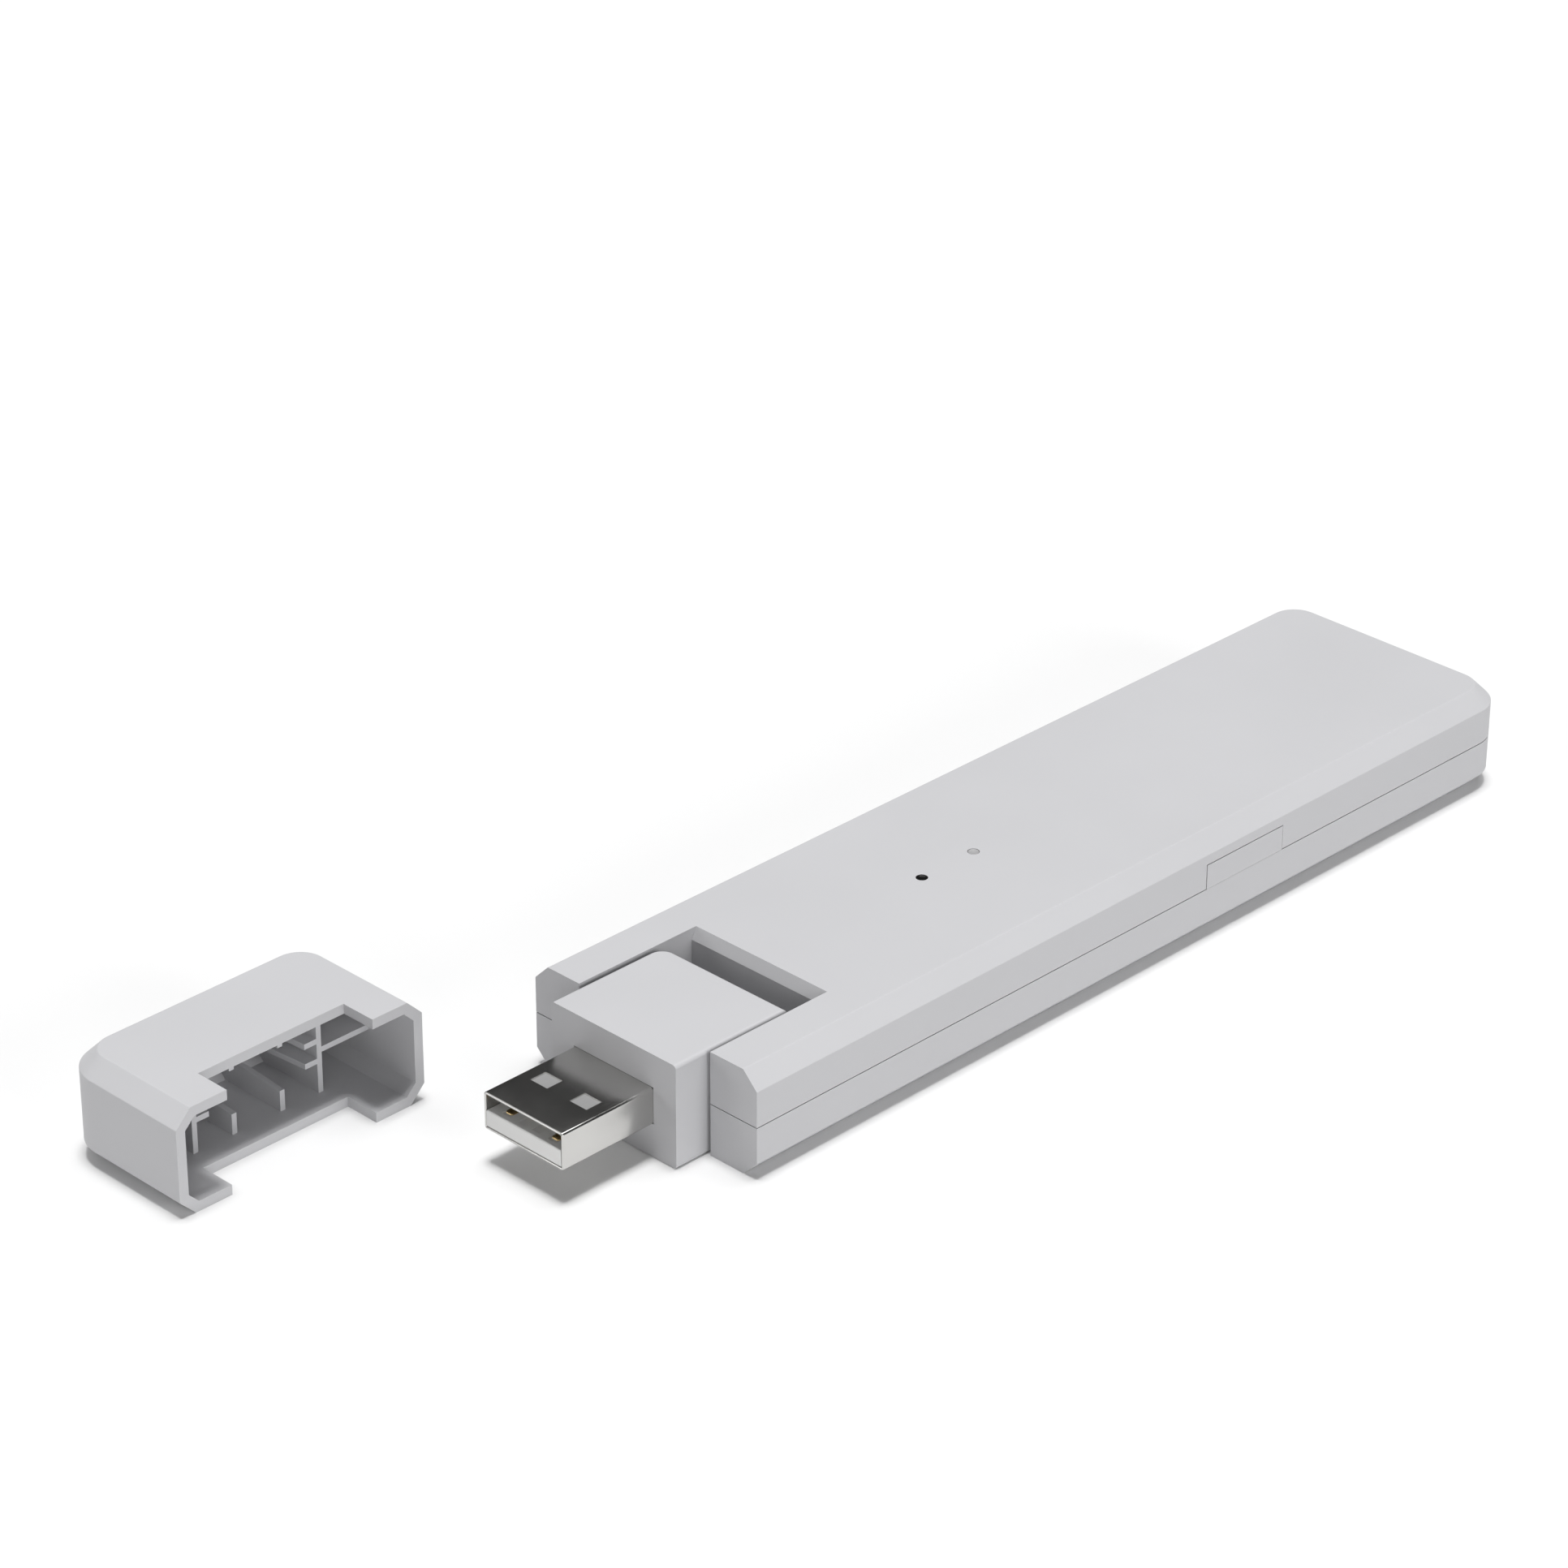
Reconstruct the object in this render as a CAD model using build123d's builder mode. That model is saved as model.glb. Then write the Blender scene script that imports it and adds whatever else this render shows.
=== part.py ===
from build123d import *
import os
from math import sqrt

# A USB programmer stick: a two-shell housing, a plug block that swivels in an open notch at
# the front, and a pull-off cap that lies beside it. Millimetres. +X is the width, +Y runs
# from the plug to the far end, +Z is up. The origin is the centre of the housing's bottom.

os.makedirs("parts", exist_ok=True)

# Housing
length = 126.0
width = 33.5
height = 12.7
edge_chamfer = 2.0
corner_radius = 5.0
edge_ease = 0.2
wall = 1.5
seam_gap = 0.12
seam_depth = 0.4

# Notch for the plug block
notch_width = 19.8
notch_clearance = 4.9
notch_bevel_run = 0.7
notch_bevel_drop = 1.4

# Snap tabs on both sides
tab_start = 71.4
tab_width = 13.1
tab_height = 3.05
tab_gap = 0.1
tab_proud = 0.04
catch_thickness = 0.7
catch_height = 1.95
catch_overlap = 1.6
barb_reach = 0.45
barb_height = 0.8
barb_inset = 1.0
rail_thickness = 0.7
rail_rise = 0.9
rail_drop = 1.5
rail_setback = 4.0

# Plug block
block_side_gap = 0.5
block_face_gap = 0.05
block_overhang = 4.5
pivot_setback = 5.5
block_edge_radius = 0.45
block_corner_radius = 1.8
block_wall = 1.3
block_side_wall = 2.2
cover_thickness = 1.4
cover_gap = 0.05
trunnion_radius = 2.0
trunnion_bore = 0.85
trunnion_gap = 0.06
flange_radius = 2.9
flange_thickness = 0.6
flange_gap = 0.15
washer_radius = 3.8
washer_thickness = 0.4

# USB-A plug
plug_width = 12.0
plug_height = 4.5
plug_reach = 12.9
plug_sheet = 0.3
plug_edge_radius = 0.4
plug_inside = 5.5
plug_gap = 0.02
window_width = 2.5
window_length = 2.1
window_spacing = 5.95
window_setback = 6.1
window_depth = 0.15
tongue_height = 1.95
tongue_gap = 0.05
tongue_root = 1.0
contact_width = 1.1
contact_thickness = 0.15
contact_offsets = (-3.5, -1.0, 1.0, 3.5)
contact_setbacks = (1.2, 2.2, 2.2, 1.2)
contact_tail = 1.5
moulding_width = 13.2
moulding_height = 6.4
moulding_length = 1.6
plug_board_width = 10.5
plug_board_length = 5.0
plug_board_thickness = 1.0

# Main board
board_thickness = 1.6
board_side_gap = 1.05
board_front_gap = 1.0
board_corner = 1.5
boss_radius = 2.2
screw_radius = 0.8
screw_gap = 0.05
screw_bite = 3.2
screw_head_radius = 1.9
screw_head_height = 1.2
screw_slot = 0.5
screw_rim = 0.6
screw_hole_radius = 1.1
screw_column = 11.0
screw_front_setback = 19.8
screw_rear_setback = 8.0
post_radius = 1.5
post_gap = 0.05
post_place = 4.0

# Indicators
light_pipe_radius = 0.65
light_pipe_gap = 0.05
light_pipe_setbacks = (42.5, 50.85)
light_collar_radius = 1.3
light_collar_height = 0.6
light_boss_radius = 1.7
light_boss_length = 1.8
led_size = (1.6, 0.8, 0.6)
led_gap = 0.15

# Parts on the main board
package_stand_off = 0.1
package_lead = 0.15
crystal_rim = (10.8, 4.6, 0.5)
crystal_can = (10.2, 4.0, 2.6)
crystal_edge = 0.4
ceramic_size = (2.0, 1.25, 1.0)
tantalum_size = (2.8, 3.5, 1.9)
resistor_size = (2.0, 1.25, 0.5)
fuse_size = (4.6, 3.2, 1.1)
power_row = 9.8
crystal_row = 32.0
resistor_pitch = 4.0

# Lead between the plug board and the main board
lead_radius = 0.65
lead_break = 0.2
lead_channel_gap = 0.25
lead_socket_size = (8.0, 5.0, 3.7)
lead_socket_wall = 0.7
lead_socket_place = (-9.6, 9.0)
lead_socket_depth = 3.2
lead_plug_show = 2.2
lead_plug_gap = 0.1

# Target header in the far end
header_width = 20.3
header_height = 8.4
header_depth = 8.9
header_wall = 1.15
header_floor = 2.4
header_gap = 0.1
header_key = 4.5
pin_size = 0.64
pin_pitch = 2.54
pin_columns = 5
pin_recess = 0.6
pin_tail = 3.0
solder_film = 0.15

# Cap
cap_length = 19.0
cap_wall = 1.2
cap_notch_gap = 0.1
cap_place = (-19.8, -93.3)
rib_setback = 7.4
rib_thickness = 0.65
rib_taper_run = 6.0
rib_taper = 0.35
fin_taper = 0.55
grip_gap = 0.05
support_rib_offset = 3.3
side_rib_offset = 8.6
fin_offset = 1.22

# Places worked out from the sizes
front = -length / 2
rear = length / 2
mid = height / 2
side = width / 2
inner_side = side - wall
notch_half = notch_width / 2
block_half = notch_half - block_side_gap
block_height = height - 2 * block_face_gap
block_front = front - block_overhang
pivot_y = front + pivot_setback
block_back = pivot_y + block_height / 2
notch_depth = pivot_setback + block_height / 2 + notch_clearance
plug_tip = block_front - plug_reach
board_top = mid + board_thickness / 2
board_bottom = mid - board_thickness / 2
board_half = inner_side - board_side_gap
board_front = front + notch_depth + wall + board_front_gap
board_back = rear - header_depth - header_gap


def inner_chamfer(thickness):
    """Leg of a chamfer's inner face where the wall keeps its thickness all round."""
    return edge_chamfer - thickness * (2 - sqrt(2))


def bevelled_slab(base, wide, near, far, low, high, radius, bevel, ease=0.0):
    """A slab with rounded far corners and every edge chamfered but those of its near face.

    With an ease, the chamfers' own edges are rounded by that radius.
    """
    with BuildPart() as slab:
        with BuildSketch(base.offset(low)) as plan:
            with Locations((0, (near + far) / 2)):
                Rectangle(wide, far - near)
            fillet(plan.vertices().group_by(Axis.Y)[-1], radius)
        extrude(amount=high - low)

        def on_rim(edge):
            place = base.to_local_coords(edge.center())
            return place.Y > near + 0.01 and abs(place.Z - (low + high) / 2) > (high - low) / 2 - 0.01

        chamfer(slab.edges().filter_by(on_rim), bevel)

        def on_chamfer(edge):
            place = base.to_local_coords(edge.center())
            level = (high - low) / 2 - abs(place.Z - (low + high) / 2)
            return place.Y > near + 0.01 and min(level, abs(level - bevel)) < 0.01

        if ease:
            fillet(slab.edges().filter_by(on_chamfer), ease)
    return slab.part


def save(piece, name):
    """Labels a finished piece and writes it under its own name."""
    piece.label = name
    export_step(piece, "parts/" + name + ".step")


# Housing, whole, before it is parted at mid height
housing_base = Plane((0, front, 0))

with BuildPart() as cavity:
    add(bevelled_slab(housing_base, width - 2 * wall, wall, length - wall, wall, height - wall,
                      corner_radius - wall, inner_chamfer(wall)))
    with BuildSketch(Plane.XY):
        with Locations((0, front + (notch_depth + wall) / 2)):
            Rectangle(notch_width + 2 * wall, notch_depth + wall)
    extrude(amount=height, mode=Mode.SUBTRACT)

with BuildPart() as housing:
    add(bevelled_slab(housing_base, width, 0, length, 0, height, corner_radius, edge_chamfer, edge_ease))
    add(cavity.part, mode=Mode.SUBTRACT)
    with BuildSketch(Plane.XY):
        with Locations((0, front + notch_depth / 2)):
            Rectangle(notch_width, notch_depth)
    extrude(amount=height, mode=Mode.SUBTRACT)
    # The notch's back wall leans away at its top and bottom edges
    notch_back = front + notch_depth
    with BuildSketch(Plane.YZ):
        for lip, inward in ((height, -1), (0, 1)):
            with BuildLine():
                Polyline((notch_back, lip), (notch_back + notch_bevel_run, lip),
                         (notch_back, lip + inward * notch_bevel_drop), close=True)
            make_face()
    extrude(amount=notch_half, both=True, mode=Mode.SUBTRACT)
    # Bearings for the trunnions in the ears' inner walls
    with BuildSketch(Plane.YZ):
        with Locations((pivot_y, mid)):
            Circle(trunnion_radius + trunnion_gap)
    extrude(amount=notch_half + wall, both=True, mode=Mode.SUBTRACT)
    # Opening for the target header
    with Locations((0, rear - wall / 2, mid)):
        Box(header_width + 2 * header_gap, 2 * wall, header_height + 2 * header_gap, mode=Mode.SUBTRACT)
    # Shadow line all round the joint of the two shells
    with BuildSketch(Plane.XY.offset(mid - seam_gap / 2)) as seam:
        Rectangle(width, length)
        fillet(seam.vertices().group_by(Axis.Y)[-1], corner_radius)
        with Locations((0, front + notch_depth / 2)):
            Rectangle(notch_width, notch_depth, mode=Mode.SUBTRACT)
        offset(amount=-seam_depth, kind=Kind.INTERSECTION, mode=Mode.SUBTRACT)
    extrude(amount=seam_gap, mode=Mode.SUBTRACT)

tab_middle = front + tab_start + tab_width / 2
screw_places = [
    (column * screw_column, row)
    for column in (-1, 1)
    for row in (board_front + screw_front_setback, board_back - screw_rear_setback)
]
post_places = [(-screw_column, post_place), (screw_column, post_place)]
light_places = [(0, front + setback) for setback in light_pipe_setbacks]

with BuildPart() as top_shell:
    add(housing.part)
    split(bisect_by=Plane.XY.offset(mid), keep=Keep.TOP)
    # Catches that the tabs' barbs hook over
    with Locations(*[(hand * (inner_side - (catch_thickness + tab_gap) / 2), tab_middle,
                      mid + seam_gap / 2 + catch_height / 2) for hand in (-1, 1)]):
        Box(catch_thickness + tab_gap, tab_width + 2 * catch_overlap, catch_height)
    # Cut-outs for the tabs
    with Locations(*[(hand * (side - (wall + tab_gap) / 2), tab_middle, mid + (tab_height + tab_gap) / 2)
                     for hand in (-1, 1)]):
        Box(wall + tab_gap, tab_width + 2 * tab_gap, tab_height + tab_gap, mode=Mode.SUBTRACT)
    # Posts that hold the board down
    with BuildSketch(Plane.XY.offset(board_top + post_gap)):
        with Locations(*post_places):
            Circle(post_radius)
    extrude(amount=height - wall - board_top - post_gap)
    # Bosses and holes for the light pipes
    with BuildSketch(Plane.XY.offset(height - wall - light_boss_length)):
        with Locations(*light_places):
            Circle(light_boss_radius)
    extrude(amount=light_boss_length)
    with BuildSketch(Plane.XY.offset(mid)):
        with Locations(*light_places):
            Circle(light_pipe_radius + light_pipe_gap)
    extrude(amount=height, mode=Mode.SUBTRACT)
save(top_shell.part, "top_shell")

rail_start = board_front + rail_setback
rail_end = board_back - rail_setback
rail_breaks = (tab_middle - tab_width / 2 - 2 * catch_overlap, tab_middle + tab_width / 2 + 2 * catch_overlap)

with BuildPart() as bottom_shell:
    add(housing.part)
    split(bisect_by=Plane.XY.offset(mid), keep=Keep.BOTTOM)
    # Snap tabs with their barbs
    with Locations(*[(hand * (inner_side + (wall + tab_proud) / 2), tab_middle, mid + tab_height / 2)
                     for hand in (-1, 1)]):
        Box(wall + tab_proud, tab_width, tab_height)
    with BuildSketch(Plane.XZ.offset(-tab_middle)):
        barb_foot = mid + seam_gap / 2 + catch_height + tab_gap
        for hand in (-1, 1):
            with BuildLine():
                Polyline((hand * inner_side, barb_foot), (hand * (inner_side - barb_reach), barb_foot),
                         (hand * inner_side, barb_foot + barb_height), close=True)
            make_face()
    extrude(amount=tab_width / 2 - barb_inset, both=True)
    # Rails that guide the upper shell and centre the board
    for start, end in ((rail_start, rail_breaks[0]), (rail_breaks[1], rail_end)):
        with Locations(*[(hand * (inner_side - rail_thickness / 2 - light_pipe_gap), (start + end) / 2,
                          mid + (rail_rise - rail_drop) / 2) for hand in (-1, 1)]):
            Box(rail_thickness, end - start, rail_rise + rail_drop)
        with Locations(*[(hand * (inner_side - rail_thickness / 2), (start + end) / 2, mid - rail_drop / 2)
                         for hand in (-1, 1)]):
            Box(rail_thickness, end - start, rail_drop)
    # Bosses for the board screws
    with BuildSketch(Plane.XY.offset(wall / 2)):
        with Locations(*screw_places):
            Circle(boss_radius)
    extrude(amount=board_bottom - wall / 2)
    with BuildSketch(Plane.XY.offset(board_bottom)):
        with Locations(*screw_places):
            Circle(screw_radius + screw_gap)
    extrude(amount=-(screw_bite + screw_gap), mode=Mode.SUBTRACT)
save(bottom_shell.part, "bottom_shell")

# Plug block, closed at the back by a cover and hung on two hollow trunnions
with BuildPart() as swivel_housing:
    with BuildSketch(Plane.XY.offset(block_face_gap)) as block_plan:
        with Locations((0, (block_front + block_back) / 2)):
            Rectangle(2 * block_half, block_back - block_front)
        far_corners = block_plan.vertices().group_by(Axis.Y)[-1]
        fillet(far_corners.sort_by(Axis.X)[0], block_corner_radius)
    extrude(amount=block_height)
    long_edges = swivel_housing.edges().filter_by(Axis.Y)
    fillet(long_edges, block_edge_radius)
    with BuildSketch(Plane.YZ):
        with Locations((pivot_y, mid)):
            Circle(trunnion_radius)
    extrude(amount=notch_half + wall + flange_gap + flange_thickness, both=True)
    for hand in (-1, 1):
        flange_face = Plane.YZ.offset(hand * (notch_half + wall + flange_gap))
        with BuildSketch(flange_face):
            with Locations((pivot_y, mid)):
                Circle(flange_radius)
        extrude(amount=hand * flange_thickness)
    with Locations((0, (block_front + block_wall + block_back) / 2, mid)):
        Box(2 * (block_half - block_side_wall), block_back - block_front - block_wall,
            block_height - 2 * block_wall, mode=Mode.SUBTRACT)
    with BuildSketch(Plane.YZ):
        with Locations((pivot_y, mid)):
            Circle(trunnion_bore)
    extrude(amount=side, both=True, mode=Mode.SUBTRACT)
    with Locations((0, block_front, mid)):
        Box(plug_width + 2 * plug_gap, 4 * block_wall, plug_height + 2 * plug_gap, mode=Mode.SUBTRACT)
save(swivel_housing.part, "swivel_housing")

with BuildPart() as swivel_cover:
    with Locations((0, block_back - cover_thickness / 2, mid)):
        Box(2 * (block_half - block_side_wall - cover_gap), cover_thickness,
            block_height - 2 * block_wall - 2 * cover_gap)
save(swivel_cover.part, "swivel_cover")

with BuildPart() as friction_washers:
    for hand in (-1, 1):
        washer_face = Plane.YZ.offset(hand * (block_half + (block_side_gap - washer_thickness) / 2))
        with BuildSketch(washer_face):
            with Locations((pivot_y, mid)):
                Circle(washer_radius)
                Circle(trunnion_radius + trunnion_gap, mode=Mode.SUBTRACT)
        extrude(amount=hand * washer_thickness)
save(friction_washers.part, "friction_washers")

# USB-A plug
shell_back = block_front + plug_inside
plug_inner_height = plug_height - 2 * plug_sheet
with BuildPart() as plug_shell:
    with BuildSketch(Plane.XZ.offset(-shell_back)):
        with Locations((0, mid)):
            RectangleRounded(plug_width, plug_height, plug_edge_radius)
            RectangleRounded(plug_width - 2 * plug_sheet, plug_inner_height, plug_edge_radius - plug_sheet,
                             mode=Mode.SUBTRACT)
    extrude(amount=shell_back - plug_tip)
    # Windows: coined pockets in the upper sheet, cut through in the lower one
    for face, depth in ((mid + plug_height / 2, window_depth), (mid - plug_height / 2, plug_sheet)):
        with Locations((0, plug_tip + window_setback, face)):
            with GridLocations(window_spacing, 0, 2, 1):
                Box(window_width, window_length, 2 * depth, mode=Mode.SUBTRACT)
save(plug_shell.part, "plug_shell")

tongue_top = mid - plug_inner_height / 2 + tongue_height
tongue_width = plug_width - 2 * plug_sheet - 2 * tongue_gap
body_front = block_front + tongue_root
with BuildPart() as plug_insulator:
    with Locations((0, (plug_tip + shell_back) / 2, tongue_top - (tongue_height - tongue_gap) / 2)):
        Box(tongue_width, shell_back - plug_tip, tongue_height - tongue_gap)
    with Locations((0, (body_front + shell_back) / 2, mid)):
        Box(tongue_width, shell_back - body_front, plug_inner_height - 2 * tongue_gap)
    with Locations((0, shell_back + moulding_length / 2, mid)):
        Box(moulding_width, moulding_length, moulding_height)
    with Locations(*[(x, (plug_tip + shell_back) / 2 + moulding_length, tongue_top + contact_thickness / 2)
                     for x in contact_offsets]):
        Box(contact_width, shell_back - plug_tip + 2 * moulding_length, contact_thickness,
            mode=Mode.SUBTRACT)
save(plug_insulator.part, "plug_insulator")

plug_board_front = shell_back + moulding_length
with BuildPart() as plug_contacts:
    contact_end = plug_board_front + contact_tail
    for x, setback in zip(contact_offsets, contact_setbacks):
        start = plug_tip + setback
        with Locations((x, (start + contact_end) / 2, tongue_top + contact_thickness / 2)):
            Box(contact_width, contact_end - start, contact_thickness)
save(plug_contacts.part, "plug_contacts")

with BuildPart() as plug_board:
    with Locations((0, plug_board_front + plug_board_length / 2, tongue_top - plug_board_thickness / 2)):
        Box(plug_board_width, plug_board_length, plug_board_thickness)
save(plug_board.part, "plug_board")

# Lead through the left trunnion, parted where the block turns
trunnion_end = notch_half + wall + flange_gap + flange_thickness
with BuildPart() as usb_lead_swivel:
    with BuildSketch(Plane.YZ.offset(-trunnion_end)):
        with Locations((pivot_y, mid)):
            Circle(lead_radius)
    extrude(amount=trunnion_end - plug_board_width / 2 - lead_break)
save(usb_lead_swivel.part, "usb_lead_swivel")

socket_x, socket_setback = lead_socket_place
socket_front = board_front + socket_setback
plug_face = socket_front - lead_plug_show
lead_height = board_top + lead_socket_size[2] / 2
lead_start = -trunnion_end - lead_break
lead_channel = -inner_side + lead_radius + lead_channel_gap
lead_points = [
    (lead_start, pivot_y, mid),
    (lead_channel, pivot_y, mid),
    (lead_channel, front + notch_depth - 0.7, mid),
    (lead_channel + 1.75, board_front + 2.0, lead_height),
    (socket_x, board_front + 4.0, lead_height),
    (socket_x, plug_face, lead_height),
]
lead_bends = [0.95 * (lead_start - lead_channel), 6.0, 3.5, 2.2]
with BuildPart() as usb_lead_base:
    with BuildLine() as lead_path:
        FilletPolyline(*lead_points, radius=lead_bends)
    with BuildSketch(Plane(lead_path.line @ 0, z_dir=lead_path.line % 0)):
        Circle(lead_radius)
    sweep()
save(usb_lead_base.part, "usb_lead_base")

socket_wide, socket_long, socket_tall = lead_socket_size
with BuildPart() as lead_socket:
    with Locations((socket_x, socket_front + socket_long / 2, lead_height)):
        Box(socket_wide, socket_long, socket_tall)
    with Locations((socket_x, socket_front + lead_socket_depth / 2, lead_height)):
        Box(socket_wide - 2 * lead_socket_wall, lead_socket_depth, socket_tall - 2 * lead_socket_wall,
            mode=Mode.SUBTRACT)
save(lead_socket.part, "lead_socket")

with BuildPart() as lead_plug:
    plug_back = socket_front + lead_socket_depth - lead_plug_gap
    with Locations((socket_x, (plug_face + plug_back) / 2, lead_height)):
        Box(socket_wide - 2 * lead_socket_wall - 2 * lead_plug_gap, plug_back - plug_face,
            socket_tall - 2 * lead_socket_wall - 2 * lead_plug_gap)
save(lead_plug.part, "lead_plug")

# Main board
with BuildPart() as main_board:
    with BuildSketch(Plane.XY.offset(board_bottom)) as board_plan:
        with Locations((0, (board_front + board_back) / 2)):
            Rectangle(2 * board_half, board_back - board_front)
        chamfer(board_plan.vertices(), board_corner)
        with Locations(*screw_places):
            Circle(screw_hole_radius, mode=Mode.SUBTRACT)
    extrude(amount=board_thickness)
save(main_board.part, "main_board")

with BuildPart() as board_screws:
    with BuildSketch(Plane.XY.offset(board_bottom - screw_bite)):
        with Locations(*screw_places):
            Circle(screw_radius)
    extrude(amount=screw_bite + board_thickness)
    with BuildSketch(Plane.XY.offset(board_top)):
        with Locations(*screw_places):
            Circle(screw_head_radius)
    extrude(amount=screw_head_height)
    with BuildSketch(Plane.XY.offset(board_top + screw_head_height)):
        with Locations(*screw_places):
            Rectangle(2 * (screw_head_radius - screw_rim), screw_slot)
            Rectangle(screw_slot, 2 * (screw_head_radius - screw_rim))
    extrude(amount=-screw_head_height / 2, mode=Mode.SUBTRACT)
save(board_screws.part, "board_screws")


def gull_wing(reach, shoulder, thick, wide):
    """One bent lead: its shoulder leaves the package at x = 0 and its foot ends at x = reach."""
    knee = 0.35 * reach
    ankle = 0.55 * reach
    with BuildPart() as lead:
        with BuildSketch(Plane.XZ):
            with BuildLine():
                Polyline((0, shoulder), (knee, shoulder), (ankle, thick), (reach, thick), (reach, 0),
                         (ankle - thick, 0), (knee - thick, shoulder - thick), (0, shoulder - thick),
                         close=True)
            make_face()
        extrude(amount=wide / 2, both=True)
    return lead.part


def package(name, centre, size, leads, pitch, sides, reach, lead_width):
    """A moulded package standing off the board, and its rows of leads, as two pieces."""
    x, y = centre
    wide, long, tall = size
    with BuildPart() as body:
        with Locations((x, y, board_top + package_stand_off + tall / 2)):
            Box(wide, long, tall)
        chamfer(body.edges().group_by(Axis.Z)[-1], tall / 8)
    save(body.part, name)
    lead = gull_wing(reach, package_stand_off + tall / 2, package_lead, lead_width)
    places = []
    for angle in sides:
        half = wide / 2 if angle % 180 == 0 else long / 2
        turn = Location((x, y, board_top), (0, 0, angle))
        places += [turn * Location((half, (i - (leads - 1) / 2) * pitch, 0)) for i in range(leads)]
    with BuildPart() as feet:
        with Locations(*places):
            add(lead)
    save(feet.part, name + "_leads")


# Power parts are placed from the board's front edge, the rest from its back edge
package("microcontroller", (0, board_back - 44.0), (7.0, 7.0, 1.4), 8, 0.8, (0, 90, 180, 270), 1.0, 0.35)
package("level_shifter", (0, board_back - 20.0), (10.0, 3.9, 1.5), 8, 1.27, (90, 270), 1.05, 0.4)
package("flash_memory", (-8.0, board_back - crystal_row), (4.9, 3.9, 1.5), 4, 1.27, (90, 270), 1.05, 0.4)
package("voltage_regulator", (5.0, board_front + power_row), (6.5, 3.5, 1.6), 3, 2.3, (90, 270), 1.7, 0.7)

with BuildPart() as crystal:
    crystal_foot = board_top
    for slot_length, slot_width, slot_height in (crystal_rim, crystal_can):
        with BuildSketch(Plane.XY.offset(crystal_foot)):
            with Locations((8.0, board_back - crystal_row)):
                SlotOverall(slot_length, slot_width)
        extrude(amount=slot_height)
        crystal_foot += slot_height
    fillet(crystal.edges().group_by(Axis.Z)[-1], crystal_edge)
save(crystal.part, "crystal")


def chips(name, places, size):
    """A group of like surface-mount chips, each a small block on the board."""
    with BuildPart() as group:
        with Locations(*[(x, y, board_top + size[2] / 2) for x, y in places]):
            Box(*size)
    save(group.part, name)


ceramic_places = [(column, board_back - setback) for column in (-7.0, 7.0) for setback in (47.0, 42.0, 20.0)]
resistor_places = [(column, board_front + screw_front_setback + resistor_pitch * row)
                   for column in (-4.5, 4.5) for row in range(4)]
chips("ceramic_capacitors", ceramic_places, ceramic_size)
chips("tantalum_capacitors", [(column, board_front + power_row) for column in (-3.0, 11.5)], tantalum_size)
chips("resistors", resistor_places, resistor_size)
chips("resettable_fuse", [(0, board_front + 2.8)], fuse_size)
chips("status_leds", light_places, led_size)

for name, place in zip(("light_pipe_front", "light_pipe_rear"), light_places):
    with BuildPart() as light_pipe:
        with BuildSketch(Plane.XY.offset(board_top + led_size[2] + led_gap)):
            with Locations(place):
                Circle(light_pipe_radius)
        extrude(amount=height - board_top - led_size[2] - led_gap)
        with BuildSketch(Plane.XY.offset(height - wall - light_boss_length)):
            with Locations(place):
                Circle(light_collar_radius)
        extrude(amount=-light_collar_height)
    save(light_pipe.part, name)

# Target header: a shrouded block of two rows of pins that straddles the board's end
header_front = rear - header_depth
pin_columns_x = [(i - (pin_columns - 1) / 2) * pin_pitch for i in range(pin_columns)]
pin_places = [(x, mid + row * pin_pitch / 2) for x in pin_columns_x for row in (-1, 1)]
with BuildPart() as target_header_shroud:
    with Locations((0, rear - header_depth / 2, mid)):
        Box(header_width, header_depth, header_height)
    with Locations((0, rear - (header_depth - header_floor) / 2, mid)):
        Box(header_width - 2 * header_wall, header_depth - header_floor, header_height - 2 * header_wall,
            mode=Mode.SUBTRACT)
    with Locations((0, rear - (header_depth - header_floor) / 2, mid + header_height / 2)):
        Box(header_key, header_depth - header_floor, 2 * header_wall, mode=Mode.SUBTRACT)
    with BuildSketch(Plane.XZ.offset(-header_front)):
        with Locations(*pin_places):
            Rectangle(pin_size, pin_size)
    extrude(amount=-header_floor, mode=Mode.SUBTRACT)
save(target_header_shroud.part, "target_header_shroud")

# The pins' tails lie on the board's two faces, a film of solder away
tail_row = (board_thickness + pin_size) / 2 + solder_film
tail_places = [(x, mid + row * tail_row) for x in pin_columns_x for row in (-1, 1)]
with BuildPart() as target_header_pins:
    with BuildSketch(Plane.XZ.offset(-header_front)):
        with Locations(*pin_places):
            Rectangle(pin_size, pin_size)
    extrude(amount=-(header_depth - pin_recess))
    with BuildSketch(Plane.XZ.offset(-header_front)):
        with Locations(*tail_places):
            Rectangle(pin_size, pin_size)
    extrude(amount=pin_tail)
save(target_header_pins.part, "target_header_pins")

# Cap, drawn from its mouth at y = 0 to its closed end at y = cap_length
cap_x, cap_y = cap_place
cap_base = Plane((cap_x, cap_y, 0), x_dir=(0, 1, 0), z_dir=(0, 0, 1))
cap_inner_end = cap_length - cap_wall
cap_inner_side = side - cap_wall


def cap_prism(outline, low, high):
    """A prism of the cap, from an outline in its plan, between two heights."""
    with BuildPart() as prism:
        with BuildSketch(cap_base.offset(low)):
            with BuildLine():
                Polyline(*outline, close=True)
            make_face()
        extrude(amount=high - low)
    return prism.part


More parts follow.
